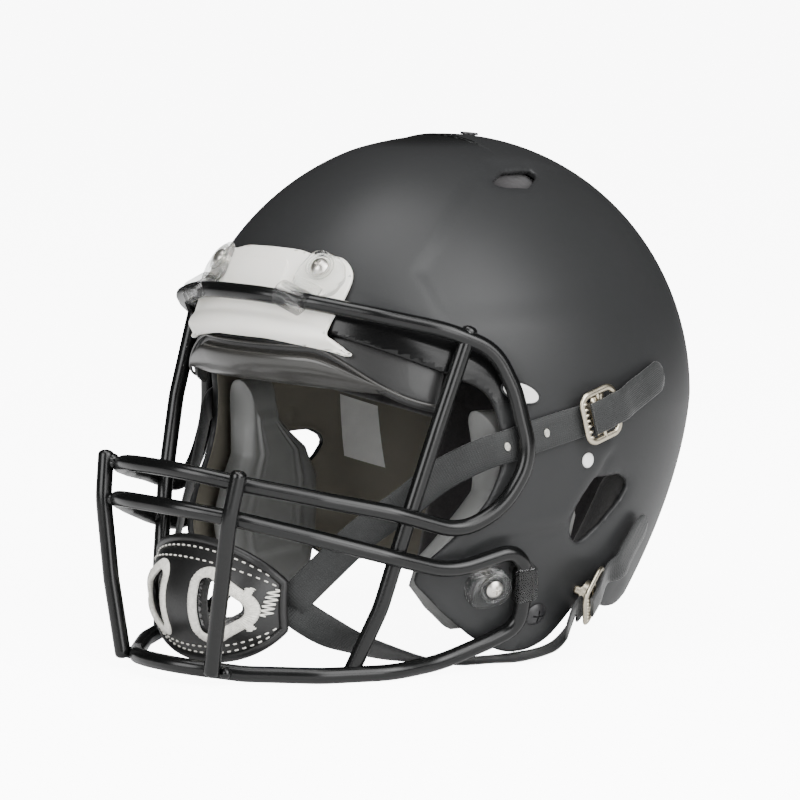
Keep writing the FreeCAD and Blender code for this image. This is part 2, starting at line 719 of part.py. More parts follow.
valve_places = [V(0, 22, crown_height * math.sqrt(1 - (22 / half_length) ** 2))]
valve_places.append(V(0, half_length * math.sqrt(1 - (66 / crown_height) ** 2), 66.0))
valve_frames = [at(p, normal(p), V(1, 0, 0)) for p in valve_places]
nodes["inflation_valves"] = Part.makeCompound([placed(valve(), f) for f in valve_frames])
holes = [placed(rod(3.2 + fit_gap, -12, 6), f) for f in valve_frames]
nodes["shell"] = nodes["shell"].cut(holes)


# ---- move the origin to the bottom centre and write the pieces -----------------------------------
def extent(shapes):
    xs, ys, zs = [], [], []
    for shape in shapes:
        for p in shape.tessellate(0.1)[0]:
            xs.append(p.x)
            ys.append(p.y)
            zs.append(p.z)
    return min(xs), max(xs), min(ys), max(ys), min(zs), max(zs)


box = extent(nodes.values())
to_origin = V(-(box[0] + box[1]) / 2, -(box[2] + box[3]) / 2, -box[4])
os.makedirs("parts", exist_ok=True)
for name, shape in sorted(nodes.items()):
    shape.translate(to_origin)
    shape.exportStep("parts/" + name + ".step")
    print(name, len(shape.Solids), shape.isValid(), round(shape.Volume / 1000, 2))
print("moved by", to_origin, "box", [round(v, 2) for v in box])
printed_places = (("upper snap", upper_snap_frame), ("lower snap", lower_snap_frame), ("side clip", side_clip_frame))
for name, frame in printed_places:
    print(name, frame.Base + to_origin, frame.Rotation.multVec(V(0, 0, 1)))
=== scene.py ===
"""American football helmet: shell, wire mask, clips, straps, chin cup and liner, built round its frame.

Points are worked out in millimetres about the centre of the shell's form: x to the wearer's left,
y to the back, z up. metres() takes them to the frame.
"""
import math

import bmesh
import bpy
import numpy as np
from bpy.props import FloatProperty, FloatVectorProperty, PointerProperty
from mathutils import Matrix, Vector


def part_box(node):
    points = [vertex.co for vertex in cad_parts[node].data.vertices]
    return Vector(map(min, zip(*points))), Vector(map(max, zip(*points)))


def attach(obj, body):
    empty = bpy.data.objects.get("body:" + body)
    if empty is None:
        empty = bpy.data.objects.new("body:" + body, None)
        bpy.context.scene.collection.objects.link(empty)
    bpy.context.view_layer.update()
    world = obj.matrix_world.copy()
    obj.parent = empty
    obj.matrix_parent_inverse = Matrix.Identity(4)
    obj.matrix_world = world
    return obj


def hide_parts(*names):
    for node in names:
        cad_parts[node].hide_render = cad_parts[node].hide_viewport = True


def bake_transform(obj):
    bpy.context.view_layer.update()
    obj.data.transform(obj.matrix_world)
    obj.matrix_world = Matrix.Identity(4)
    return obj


bl_info = {
    "name": "Football Helmet Looks",
    "version": (1, 0, 0),
    "blender": (4, 5, 0),
    "location": "View3D > Sidebar > Helmet",
    "description": "Builds the visible pieces of an american football helmet around its frame",
    "category": "Object",
}

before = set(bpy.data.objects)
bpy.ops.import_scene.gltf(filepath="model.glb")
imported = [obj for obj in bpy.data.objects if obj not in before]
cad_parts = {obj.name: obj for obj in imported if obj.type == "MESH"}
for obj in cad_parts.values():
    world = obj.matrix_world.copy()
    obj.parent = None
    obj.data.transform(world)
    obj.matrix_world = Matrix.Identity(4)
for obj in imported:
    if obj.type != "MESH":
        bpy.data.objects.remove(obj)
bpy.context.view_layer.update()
shell_low, shell_high = (np.array(corner) * 1000 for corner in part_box("shell"))


# ---- sizes and colours -----------------------------------------------------------------------------
class HelmetSizes(bpy.types.PropertyGroup):
    """Sizes of the shell's wall and of the parts fitted to the form, in millimetres."""

    wall: FloatProperty(name="Wall", description="Thickness of the moulded shell", default=3.6)
    flange: FloatProperty(name="Flange", description="Width of the band round the face opening", default=14.0)
    wire: FloatProperty(name="Wire radius", description="Radius of the coated mask wire", default=4.0)
    strap: FloatProperty(name="Strap width", description="Width of the webbing", default=16.0)
    webbing: FloatProperty(name="Webbing thickness", description="Thickness of the webbing", default=1.6)
    rib_pitch: FloatProperty(name="Rib pitch", description="Distance between the webbing's ribs", default=1.25)
    pad: FloatProperty(name="Pad thickness", description="Thickness of the liner pads", default=19.0)


class HelmetColours(bpy.types.PropertyGroup):
    """Base colours of the helmet's finishes."""

    shell: FloatVectorProperty(name="Shell", description="Satin paint", subtype="COLOR", size=3,
                               default=(0.02, 0.0205, 0.021))
    inside: FloatVectorProperty(name="Inside", description="Bare inside of the shell", subtype="COLOR", size=3,
                                default=(0.2, 0.185, 0.15))
    mask: FloatVectorProperty(name="Mask", description="Coating of the wires", subtype="COLOR", size=3,
                              default=(0.003, 0.0032, 0.0032))
    bumper: FloatVectorProperty(name="Bumper", description="Front bumper", subtype="COLOR", size=3,
                                default=(0.86, 0.84, 0.78))
    buckle: FloatVectorProperty(name="Buckle", description="Plated buckles", subtype="COLOR", size=3,
                                default=(0.5, 0.45, 0.35))
    webbing: FloatVectorProperty(name="Webbing", description="Strap webbing", subtype="COLOR", size=3,
                                 default=(0.006, 0.0068, 0.0068))
    cup: FloatVectorProperty(name="Cup", description="Chin cup cover", subtype="COLOR", size=3,
                             default=(0.0055, 0.0055, 0.0055))
    vinyl: FloatVectorProperty(name="Vinyl", description="Jaw pad cover", subtype="COLOR", size=3,
                               default=(0.17, 0.172, 0.168))
    fabric: FloatVectorProperty(name="Fabric", description="Liner cover", subtype="COLOR", size=3,
                                default=(0.012, 0.0105, 0.0115))
    thread: FloatVectorProperty(name="Thread", description="Stitching", subtype="COLOR", size=3,
                                default=(0.78, 0.76, 0.7))


def sizes():
    return bpy.context.scene.helmet_sizes


def colours():
    return bpy.context.scene.helmet_colours


# ---- the shell's form -------------------------------------------------------------------------------
HALF_WIDTH = 118.0      # at ear height
HALF_LENGTH = 142.0     # at ear height
CROWN = 135.0           # from ear height to the top
SIDE_DROP = 185.0       # depths at which the side, front and rear would close below ear height
FRONT_DROP = 200.0
REAR_DROP = 200.0
ORIGIN = np.array([0.0, shell_high[1] - HALF_LENGTH - 0.03, shell_high[2] - CROWN + 0.05])


def metres(points):
    return (np.asarray(points, float) + ORIGIN) / 1000


def spot(x, y, z):
    return tuple(metres((x, y, z)))


def level(z, lift=0.0):
    """Half width, front and rear half lengths and exponents of the form's section at each height."""
    z = np.asarray(z, float)
    a, b, h = HALF_WIDTH + lift, HALF_LENGTH + lift, CROWN + lift
    n = np.maximum(-z, 0)
    dome = np.sqrt(np.clip(1 - (np.maximum(z, 0) / h) ** 2, 0, 1))
    side = (1 - (n / SIDE_DROP) ** 2.2) ** (1 / 2.2) * dome
    front = np.sqrt(1 - (n / FRONT_DROP) ** 2) * dome
    rear = (1 - (n / REAR_DROP) ** 1.69) * dome
    return a * side, b * front, b * rear, 2 + 0.35 * np.minimum(n / 60, 1), 2 - 0.25 * np.minimum(n / 105, 1)


def field(p):
    a, front, rear, e_front, e_rear = level(p[..., 2])
    ahead = p[..., 1] < 0
    b, e = np.where(ahead, front, rear), np.where(ahead, e_front, e_rear)
    a, b = np.maximum(a, 1e-3), np.maximum(b, 1e-3)
    return (np.abs(p[..., 0]) / a) ** e + (np.abs(p[..., 1]) / b) ** e


def normals_of(p):
    """Outward normals of the form: its field's slope by central differences."""
    p = np.asarray(p, float)
    step = 0.5
    g = np.stack([field(p + step * axis) - field(p - step * axis) for axis in np.eye(3)], -1)
    high = p[..., 2] > CROWN - 3
    g[high] = (0, 0, 1)
    return g / np.linalg.norm(g, axis=-1, keepdims=True)


def form(turn, rise, lift=0.0):
    """Point of the form: turn runs from the back over the left, rise is millimetres of arc from ear height."""
    z = np.where(rise > 0, (CROWN + lift) * np.sin(np.clip(rise / CROWN, 0, math.pi / 2)), rise)
    a, front, rear, e_front, e_rear = level(z, lift)
    s, c = np.sin(turn), np.cos(turn)
    e, b = np.where(c < 0, e_front, e_rear), np.where(c < 0, front, rear)
    x = a * np.sign(s) * np.abs(s) ** (2 / e)
    y = b * np.sign(c) * np.abs(c) ** (2 / e)
    return np.stack([x, y, z], -1)


def side_point(y, z, lift=0.0):
    """Points on the left side of the form at given lengths and heights, lifted along its normal."""
    y, z = np.broadcast_arrays(np.asarray(y, float), np.asarray(z, float))
    a, front, rear, e_front, e_rear = level(z)
    ahead = y < 0
    b, e = np.where(ahead, front, rear), np.where(ahead, e_front, e_rear)
    x = a * np.clip(1 - (np.abs(y) / b) ** e, 0, 1) ** (1 / e)
    p = np.stack([x, y, z], -1)
    return p + normals_of(p) * np.asarray(lift)[..., None]


def front_point(x, z, lift=0.0):
    """Points on the front of the form at given widths and heights, lifted along its normal."""
    x, z = np.broadcast_arrays(np.asarray(x, float), np.asarray(z, float))
    a, front, rear, e, e_rear = level(z)
    y = -front * np.clip(1 - (np.abs(x) / a) ** e, 0, 1) ** (1 / e)
    p = np.stack([x, y, z], -1)
    return p + normals_of(p) * np.asarray(lift)[..., None]


# ---- curves -----------------------------------------------------------------------------------------
def unit(v):
    return v / np.maximum(np.linalg.norm(v, axis=-1, keepdims=True), 1e-9)


def smooth_line(points, count, closed=False):
    """Evenly spaced points of a Catmull-Rom curve through the given points."""
    p = np.asarray(points, float)
    if closed:
        p = np.concatenate([p[-1:], p, p[:2]])
    else:
        p = np.concatenate([2 * p[:1] - p[1:2], p, 2 * p[-1:] - p[-2:-1]])
    t = np.linspace(0, 1, 24, endpoint=False)[None, :, None]
    a, b, c, d = (p[i:len(p) - 3 + i, None] for i in range(4))
    q = 0.5 * (2 * b + (c - a) * t + (2 * a - 5 * b + 4 * c - d) * t ** 2 + (3 * b - a - 3 * c + d) * t ** 3)
    q = q.reshape(-1, p.shape[1])
    q = np.concatenate([q, p[-2:-1]])
    return even_line(q, count, closed)


def even_line(points, count, closed=False):
    """The polyline resampled at equal distances; a closed one drops its repeated last point."""
    points = np.asarray(points, float)
    s = np.concatenate([[0], np.cumsum(np.linalg.norm(np.diff(points, axis=0), axis=1))])
    t = np.linspace(0, s[-1], count + 1)[:-1] if closed else np.linspace(0, s[-1], count)
    return np.stack([np.interp(t, s, points[:, k]) for k in range(points.shape[1])], -1)


def closed_line(corners, count):
    """A closed line resampled at equal distances, from points that do not repeat the first."""
    return even_line(np.concatenate([corners, corners[:1]]), count, True)


def line_length(points):
    return float(np.linalg.norm(np.diff(np.asarray(points, float), axis=0), axis=1).sum())


def bent_line(points, closed, largest, step=3.0):
    """Straight runs joined by tangent arcs, each as large as its runs allow, as the wires are bent."""
    p = np.asarray(points, float)
    count = len(p)
    out = []
    for i in range(count):
        if not closed and i in (0, count - 1):
            out.append(p[i:i + 1])
            continue
        before, after = p[i - 1] - p[i], p[(i + 1) % count] - p[i]
        room = 0.45 * min(np.linalg.norm(before), np.linalg.norm(after))
        before, after = unit(before), unit(after)
        half_turn = (math.pi - math.acos(np.clip(before @ after, -1, 1))) / 2
        radius = min(largest, room / math.tan(half_turn))
        middle = p[i] + unit(before + after) * radius / math.cos(half_turn)
        parts = max(3, int(radius * 2 * half_turn / step))
        angle = np.linspace(-half_turn, half_turn, parts + 1)[:, None]
        out_way, along = -unit(before + after), unit(after - before)
        out.append(middle + radius * (np.cos(angle) * out_way + np.sin(angle) * along))
    return np.concatenate(out)


def tangents(line, closed=False):
    if closed:
        return unit(np.roll(line, -1, 0) - np.roll(line, 1, 0))
    return unit(np.gradient(line, axis=0))


def outline_distance(x, y, outline):
    """Signed distance to a closed outline, positive inside."""
    shape = np.shape(x)
    q = np.stack([np.ravel(x), np.ravel(y)], -1)
    a = np.asarray(outline, float)
    d = np.roll(a, -1, 0) - a
    best = np.full(len(q), 1e9)
    inside = np.zeros(len(q), bool)
    for start, run in zip(a, d):
        w = q - start
        t = np.clip(w @ run / max(run @ run, 1e-9), 0, 1)
        best = np.minimum(best, np.linalg.norm(w - t[:, None] * run, axis=1))
        crosses = (start[1] > q[:, 1]) != (start[1] + run[1] > q[:, 1])
        reach = start[0] + run[0] * (q[:, 1] - start[1]) / np.where(run[1] == 0, 1e-9, run[1])
        inside ^= crosses & (q[:, 0] < reach)
    return np.where(inside, best, -best).reshape(shape)


def line_distance(p, line):
    """Distance from points to an open polyline in as many dimensions as they have, and where along it."""
    p = np.asarray(p, float)
    flat = p.reshape(-1, p.shape[-1])
    line = np.asarray(line, float)
    best = np.full(len(flat), 1e9)
    place = np.zeros(len(flat))
    for i, (start, run) in enumerate(zip(line[:-1], np.diff(line, axis=0))):
        w = flat - start
        t = np.clip(w @ run / max(run @ run, 1e-9), 0, 1)
        d = np.linalg.norm(w - t[:, None] * run, axis=1)
        near = d < best
        best[near], place[near] = d[near], i + t[near]
    return best.reshape(p.shape[:-1]), place.reshape(p.shape[:-1])


def step_up(x, low, high):
    """Smooth step from 0 at low to 1 at high."""
    t = np.clip((x - low) / (high - low), 0, 1)
    return t * t * (3 - 2 * t)


# ---- meshes -----------------------------------------------------------------------------------------
def add_piece(name, points, quads, tris=None, uv=None, materials=(), mask=None):
    """Mesh object from points in millimetres and faces; uv and mask are one value per point."""
    tris = np.zeros((0, 3), int) if tris is None else tris
    mesh = bpy.data.meshes.new(name)
    place = metres(points)
    mesh.vertices.add(len(place))
    mesh.vertices.foreach_set("co", place.ravel())
    loops = np.concatenate([quads.ravel(), tris.ravel()]).astype(int)
    totals = np.concatenate([np.full(len(quads), 4), np.full(len(tris), 3)]).astype(int)
    starts = np.concatenate([[0], np.cumsum(totals)[:-1]]).astype(int)
    mesh.loops.add(len(loops))
    mesh.loops.foreach_set("vertex_index", loops)
    mesh.polygons.add(len(totals))
    mesh.polygons.foreach_set("loop_start", starts)
    mesh.polygons.foreach_set("use_smooth", np.ones(len(totals), bool))
    mesh.update(calc_edges=True)
    if uv is not None:
        layer = mesh.uv_layers.new(name="UVMap")
        layer.data.foreach_set("uv", np.asarray(uv, float)[loops].ravel())
    if mask is not None:
        attribute = mesh.attributes.new("mask", "FLOAT", "POINT")
        attribute.data.foreach_set("value", np.asarray(mask, float))
    mesh.validate()
    piece = bpy.data.objects.new(name, mesh)
    bpy.context.scene.collection.objects.link(piece)
    for material in materials:
        mesh.materials.append(material)
    return piece


def end_caps(rows, sides):
    """Fans that close the first and the last ring of a tube-like grid."""
    rings = (np.arange(sides)[::-1], (rows - 1) * sides + np.arange(sides))
    fans = [np.stack([np.full(sides - 2, ring[0]), ring[1:-1], ring[2:]], -1) for ring in rings]
    return np.concatenate(fans)


def grid_faces(nu, nv, wrap_u=False, wrap_v=False, start=0):
    """Quads of a grid whose points are numbered u-major."""
    i = np.arange(nu if wrap_u else nu - 1)
    j = np.arange(nv if wrap_v else nv - 1)
    i, j = (k.ravel() for k in np.meshgrid(i, j, indexing="ij"))
    k, m = (i + 1) % nu, (j + 1) % nv
    return start + np.stack([i * nv + j, k * nv + j, k * nv + m, i * nv + m], -1)


def join_parts(parts):
    """Several (points, quads, tris) as one set."""
    points, quads, tris, base = [], [], [], 0
    for p, q, t in parts:
        points.append(p)
        quads.append(q + base)
        tris.append(t + base)
        base += len(p)
    return np.concatenate(points), np.concatenate(quads), np.concatenate(tris)


NO_TRIS = np.zeros((0, 3), int)


def tube_part(line, radius, closed=False, sides=16, centre=(0.0, -60.0, -20.0), squash=1.0):
    """Round wire along a line; its ends are domed. radius may vary along it."""
    line = np.asarray(line, float)
    along = tangents(line, closed)
    radius = np.broadcast_to(np.asarray(radius, float), (len(line),))
    out = line - np.asarray(centre, float)
    out = unit(out - along * (out * along).sum(-1, keepdims=True))
    across = np.cross(along, out)
    if not closed:
        r0, r1 = radius[0], radius[-1]
        first = [line[0] - along[0] * r0 * h for h in (0.6, 0.5, 0.3)]
        last = [line[-1] + along[-1] * r1 * h for h in (0.3, 0.5, 0.6)]
        line = np.concatenate([first, line, last])
        radius = np.concatenate([[r0 * 0.02, r0 * 0.55, r0 * 0.86], radius, [r1 * 0.86, r1 * 0.55, r1 * 0.02]])
        out = np.concatenate([out[[0, 0, 0]], out, out[[-1, -1, -1]]])
        across = np.concatenate([across[[0, 0, 0]], across, across[[-1, -1, -1]]])
    angle = np.arange(sides) * 2 * math.pi / sides
    cosine, sine = np.cos(angle)[None, :, None], np.sin(angle)[None, :, None]
    ring = cosine * out[:, None] * squash + sine * across[:, None]
    points = line[:, None] + ring * radius[:, None, None]
    quads = grid_faces(len(line), sides, closed, True)
    tris = NO_TRIS if closed else end_caps(len(line), sides)
    return points.reshape(-1, 3), quads[:, ::-1], tris[:, ::-1]


def ribbon_part(line, facing, width, thickness, ribs=0.0, pitch=1.25, round_end=False):
    """Webbing along a line: a flat section with rounded edges, ribbed across by a ripple in its thickness."""
    along = tangents(line)
    across = unit(np.cross(along, facing))
    up = unit(np.cross(across, along))
    w, t = width / 2, thickness / 2
    flat, low = w - t * 0.4, t * 0.4
    profile = np.array([(-flat, -t), (0, -t), (flat, -t), (w, -low), (w, low), (flat, t), (0.5 * w, t), (0, t),
                        (-0.5 * w, t), (-flat, t), (-w, low), (-w, -low)])
    s = np.concatenate([[0], np.cumsum(np.linalg.norm(np.diff(line, axis=0), axis=1))])
    ripple = ribs * np.abs(np.sin(math.pi * s / pitch))
    past = np.clip(w - (s[-1] - s), 0, w) if round_end else np.zeros(len(s))
    narrow = np.sqrt(np.clip(1 - (past / w) ** 2, 0.0004, 1))
    height = profile[None, :, 1] * (1 - ripple[:, None] / t * (np.abs(profile[None, :, 0]) < w * 0.97))
    side = profile[None, :, 0] * narrow[:, None]
    points = line[:, None] + side[..., None] * across[:, None] + height[..., None] * up[:, None]
    n, m = points.shape[:2]
    uv = np.stack([np.repeat(s, m) / 1000, np.tile(profile[:, 0], n) / 1000], -1)
    return points.reshape(-1, 3), grid_faces(n, m, False, True), end_caps(n, m), uv


def lathe_part(profile, centre, axis, count=28):
    """Profile of (radius, height) pairs turned about an axis; its first and last radius are 0."""
    axis = unit(np.asarray(axis, float))
    side = unit(np.cross(axis, (0.31, 0.2, 0.93)))
    other = np.cross(axis, side)
    angle = np.arange(count) * 2 * math.pi / count
    profile = np.asarray(profile, float)
    ring = np.cos(angle)[None, :, None] * side + np.sin(angle)[None, :, None] * other
    points = np.asarray(centre, float) + profile[:, :1, None] * ring + profile[:, 1:, None] * axis
    return points.reshape(-1, 3), grid_faces(len(profile), count, False, True)[:, ::-1], NO_TRIS


def trimmed_part(u, v, base, keep, place, wrap=False):
    """Grid cut along the zero line of keep: corners next to the line slide onto it along grid edges.

    base gives the plain surface for keep, and place the finished points.
    """
    uu, vv = np.meshgrid(u, v, indexing="ij")
    q = np.stack([uu, vv], -1)
    s = keep(base(uu, vv))
    best = np.full(s.shape, 0.5)
    moved = q.copy()
    span = (u[1] - u[0]) * len(u)
    for axis in (0, 1):
        for way in (1, -1):
            near = np.roll(q, -way, axis)
            there = np.roll(s, -way, axis)
            edge = np.zeros(s.shape, bool)
            last = [slice(None)] * 2
            last[axis] = -1 if way == 1 else 0
            if axis == 0 and wrap:
                near[tuple(last) + (0,)] += way * span
            else:
                edge[tuple(last)] = True
            crossing = (s * there < 0) & ~edge
            share = np.where(crossing, s / np.where(crossing, s - there, 1), 1.0)
            better = share <= best
            best = np.where(better, share, best)
            moved = np.where(better[..., None], q + (near - q) * share[..., None], moved)
    snapped = np.any(moved != q, axis=-1)
    s = np.where(snapped, 0, s).ravel()
    faces = grid_faces(len(u), len(v), wrap, False)
    corner = s[faces]
    whole = (corner >= 0).all(1) & (corner > 0).any(1)
    quads = faces[whole]
    mixed = (corner > 0).any(1) & (corner < 0).any(1)
    tris = []
    for k in range(4):
        lone = mixed & (corner[:, k] > 0) & (corner[:, (k + 2) % 4] < 0)
        tris.append(faces[lone][:, [(k + 3) % 4, k, (k + 1) % 4]])
    tris = np.concatenate(tris)
    used = np.unique(np.concatenate([quads.ravel(), tris.ravel()]))
    index = np.zeros(len(s), int)
    index[used] = np.arange(len(used))
    flat = moved.reshape(-1, 2)[used]
    return place(flat[:, 0], flat[:, 1]), index[quads], index[tris], flat


def bake(piece, sharp=40.0):
    """Apply a piece's modifiers, and mark its edges sharper than an angle."""
    deps = bpy.context.evaluated_depsgraph_get()
    mesh = bpy.data.meshes.new_from_object(piece.evaluated_get(deps))
    piece.modifiers.clear()
    old = piece.data
    piece.data = mesh
    mesh.name = piece.name
    bpy.data.meshes.remove(old)
    mesh.set_sharp_from_angle(angle=math.radians(sharp))
    return piece


def thicken(piece, wall, round_edge=0.0, inner_slot=0, rim_slot=0, segments=2, offset=-1.0):
    """Give a sheet its wall and round its rims."""
    solid = piece.modifiers.new("wall", "SOLIDIFY")
    solid.thickness = wall / 1000
    solid.offset = offset
    solid.material_offset = inner_slot
    solid.material_offset_rim = rim_slot
    if round_edge:
        bevel = piece.modifiers.new("rim", "BEVEL")
        bevel.width = round_edge / 1000
        bevel.segments = segments
        bevel.limit_method = "ANGLE"
        bevel.angle_limit = math.radians(50)
        bevel.use_clamp_overlap = False
        bevel.harden_normals = True
    return bake(piece)


def settle(piece, body, slot_name, *nodes):
    """Ride a finished piece on its body, if it has a single one, and hide the nodes it stands for."""
    if body:
        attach(piece, body)
    if nodes:
        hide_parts(*nodes)
    return piece


def mirror_points(points):
    return points * np.array([-1.0, 1.0, 1.0])


def both_sides(part):
    """A left part and its mirror image, faces turned back outwards."""
    p, q, t = part[:3]
    return join_parts([(p, q, t), (mirror_points(p), q[:, ::-1], t[:, ::-1])])


def sided(part, side):
    p, q, t = part[:3]
    return (p, q, t) if side > 0 else (mirror_points(p), q[:, ::-1], t[:, ::-1])


SIDES = (("left", 1), ("right", -1))


# ---- materials --------------------------------------------------------------------------------------
def new_material(name, colour, roughness, **values):
    """Principled material with constants on its sockets; returns it with its nodes and shader."""
    material = bpy.data.materials.new(name)
    material.use_nodes = True
    nodes, links = material.node_tree.nodes, material.node_tree.links
    shader = nodes["Principled BSDF"]
    shader.inputs["Base Color"].default_value = (*colour, 1)
    shader.inputs["Roughness"].default_value = roughness
    for key, value in values.items():
        shader.inputs[key.replace("_", " ")].default_value = value
    return material, nodes, links, shader


def object_noise(nodes, links, scale, detail=3.0, rough=0.5):
    place = nodes.new("ShaderNodeTexCoord")
    noise = nodes.new("ShaderNodeTexNoise")
    noise.inputs["Scale"].default_value = scale
    noise.inputs["Detail"].default_value = detail
    noise.inputs["Roughness"].default_value = rough
    links.new(place.outputs["Object"], noise.inputs["Vector"])
    return noise


def vary_colour(nodes, links, shader, noise, low, high):
    """Colour from a noise between two tones."""
    ramp = nodes.new("ShaderNodeValToRGB")
    ramp.color_ramp.elements[0].position = 0.3
    ramp.color_ramp.elements[1].position = 0.7
    ramp.color_ramp.elements[0].color = (*low, 1)
    ramp.color_ramp.elements[1].color = (*high, 1)
    links.new(noise.outputs["Fac"], ramp.inputs["Fac"])
    links.new(ramp.outputs["Color"], shader.inputs["Base Color"])
    return ramp


def vary_value(nodes, links, noise, socket, low, high):
    span = nodes.new("ShaderNodeMapRange")
    span.inputs["To Min"].default_value = low
    span.inputs["To Max"].default_value = high
    links.new(noise.outputs["Fac"], span.inputs["Value"])
    links.new(span.outputs["Result"], socket)


def add_bump(nodes, links, shader, height, strength, distance):
    bump = nodes.new("ShaderNodeBump")
    bump.inputs["Strength"].default_value = strength
    bump.inputs["Distance"].default_value = distance
    links.new(height, bump.inputs["Height"])
    links.new(bump.outputs["Normal"], shader.inputs["Normal"])


def scaled(colour, factor):
    return tuple(min(1.0, c * factor) for c in colour)


def shell_paint():
    """Satin paint with a fine orange peel; the flange near the face opening is darker and glossier."""
    tone = colours().shell
    material, nodes, links, shader = new_material("shell_paint", tone, 0.42, Specular_IOR_Level=0.25)
    noise = object_noise(nodes, links, 9.0, 2.0)
    ramp = vary_colour(nodes, links, shader, noise, scaled(tone, 0.94), scaled(tone, 1.06))
    edge = nodes.new("ShaderNodeAttribute")
    edge.attribute_name = "mask"
    mix = nodes.new("ShaderNodeMix")
    mix.data_type = "RGBA"
    mix.inputs[7].default_value = (*scaled(tone, 0.2), 1)
    links.new(edge.outputs["Fac"], mix.inputs[0])
    links.new(ramp.outputs["Color"], mix.inputs[6])
    links.new(mix.outputs[2], shader.inputs["Base Color"])
    rough = nodes.new("ShaderNodeMapRange")
    rough.inputs["To Min"].default_value = 0.42
    rough.inputs["To Max"].default_value = 0.2
    links.new(edge.outputs["Fac"], rough.inputs["Value"])
    links.new(rough.outputs["Result"], shader.inputs["Roughness"])
    grain = object_noise(nodes, links, 1400.0, 2.0)
    add_bump(nodes, links, shader, grain.outputs["Fac"], 0.12, 0.0002)
    return material


def shell_inside():
    tone = colours().inside
    material, nodes, links, shader = new_material("shell_inside", tone, 0.55)
    noise = object_noise(nodes, links, 14.0, 4.0)
    vary_colour(nodes, links, shader, noise, scaled(tone, 0.82), scaled(tone, 1.1))
    grain = object_noise(nodes, links, 500.0, 3.0)
    add_bump(nodes, links, shader, grain.outputs["Fac"], 0.15, 0.0003)
    return material


def mask_coating():
    """Thick glossy dip coating with slight waviness."""
    tone = colours().mask
    material, nodes, links, shader = new_material("mask_coating", tone, 0.24, Specular_IOR_Level=0.35)
    noise = object_noise(nodes, links, 60.0, 2.0)
    vary_value(nodes, links, noise, shader.inputs["Roughness"], 0.18, 0.3)
    add_bump(nodes, links, shader, noise.outputs["Fac"], 0.12, 0.0006)
    return material


def bumper_plastic():
    tone = colours().bumper
    material, nodes, links, shader = new_material("bumper_plastic", tone, 0.42, Subsurface_Weight=0.1)
    shader.inputs["Subsurface Radius"].default_value = (0.004, 0.003, 0.002)
    noise = object_noise(nodes, links, 25.0, 3.0)
    vary_colour(nodes, links, shader, noise, scaled(tone, 0.95), scaled(tone, 1.03))
    grain = object_noise(nodes, links, 900.0, 2.0)
    add_bump(nodes, links, shader, grain.outputs["Fac"], 0.08, 0.0002)
    return material


def clear_plastic():
    """Clear moulded plastic with faint flow marks."""
    material, nodes, links, shader = new_material("clear_plastic", (0.97, 0.98, 0.97), 0.06,
                                                  Transmission_Weight=1.0, IOR=1.35, Alpha=0.5)
    noise = object_noise(nodes, links, 120.0, 2.0)
    vary_value(nodes, links, noise, shader.inputs["Roughness"], 0.03, 0.12)
    add_bump(nodes, links, shader, noise.outputs["Fac"], 0.25, 0.0006)
    return material


def plated_metal(name, tone, rough=0.28):
    material, nodes, links, shader = new_material(name, tone, rough, Metallic=1.0)
    noise = object_noise(nodes, links, 300.0, 4.0)
    vary_value(nodes, links, noise, shader.inputs["Roughness"], rough * 0.75, rough * 1.4)
    worn = object_noise(nodes, links, 70.0, 5.0)
    vary_colour(nodes, links, shader, worn, scaled(tone, 0.8), scaled(tone, 1.08))
    add_bump(nodes, links, shader, noise.outputs["Fac"], 0.08, 0.0002)
    return material


def black_nylon():
    material, nodes, links, shader = new_material("black_nylon", (0.012, 0.012, 0.013), 0.38)
    noise = object_noise(nodes, links, 400.0, 3.0)
    vary_value(nodes, links, noise, shader.inputs["Roughness"], 0.3, 0.48)
    add_bump(nodes, links, shader, noise.outputs["Fac"], 0.1, 0.0002)
    return material


def strap_webbing():
    """Black webbing: fine warp threads along it, under the ribs of its mesh."""
    tone = colours().webbing
    material, nodes, links, shader = new_material("strap_webbing", tone, 0.62, Sheen_Weight=0.25)
    shader.inputs["Sheen Roughness"].default_value = 0.4
    place = nodes.new("ShaderNodeTexCoord")
    wave = nodes.new("ShaderNodeTexWave")
    wave.bands_direction = "Y"
    wave.inputs["Scale"].default_value = 320.0
    wave.inputs["Distortion"].default_value = 0.6
    links.new(place.outputs["UV"], wave.inputs["Vector"])
    add_bump(nodes, links, shader, wave.outputs["Fac"], 0.35, 0.0003)
    noise = object_noise(nodes, links, 160.0, 3.0)
    vary_colour(nodes, links, shader, noise, scaled(tone, 0.7), scaled(tone, 1.35))
    return material


def cup_cover():
    """Coated leather with a fine pebble."""
    tone = colours().cup
    material, nodes, links, shader = new_material("cup_cover", tone, 0.42)
    place = nodes.new("ShaderNodeTexCoord")
    pebble = nodes.new("ShaderNodeTexVoronoi")
    pebble.inputs["Scale"].default_value = 700.0
    links.new(place.outputs["Object"], pebble.inputs["Vector"])
    noise = object_noise(nodes, links, 40.0, 4.0)
    vary_value(nodes, links, noise, shader.inputs["Roughness"], 0.32, 0.5)
    vary_colour(nodes, links, shader, noise, scaled(tone, 0.75), scaled(tone, 1.3))
    add_bump(nodes, links, shader, pebble.outputs["Distance"], 0.18, 0.0002)
    return material


def soft_fabric(name, tone, sheen=0.4):
    """Brushed knit: fine speckle and a soft sheen."""
    material, nodes, links, shader = new_material(name, tone, 0.85, Sheen_Weight=sheen)
    shader.inputs["Sheen Roughness"].default_value = 0.5
    speckle = object_noise(nodes, links, 900.0, 4.0, 0.7)
    vary_colour(nodes, links, shader, speckle, scaled(tone, 0.6), scaled(tone, 1.5))
    weave = object_noise(nodes, links, 420.0, 3.0)
    add_bump(nodes, links, shader, weave.outputs["Fac"], 0.4, 0.0005)
    return material


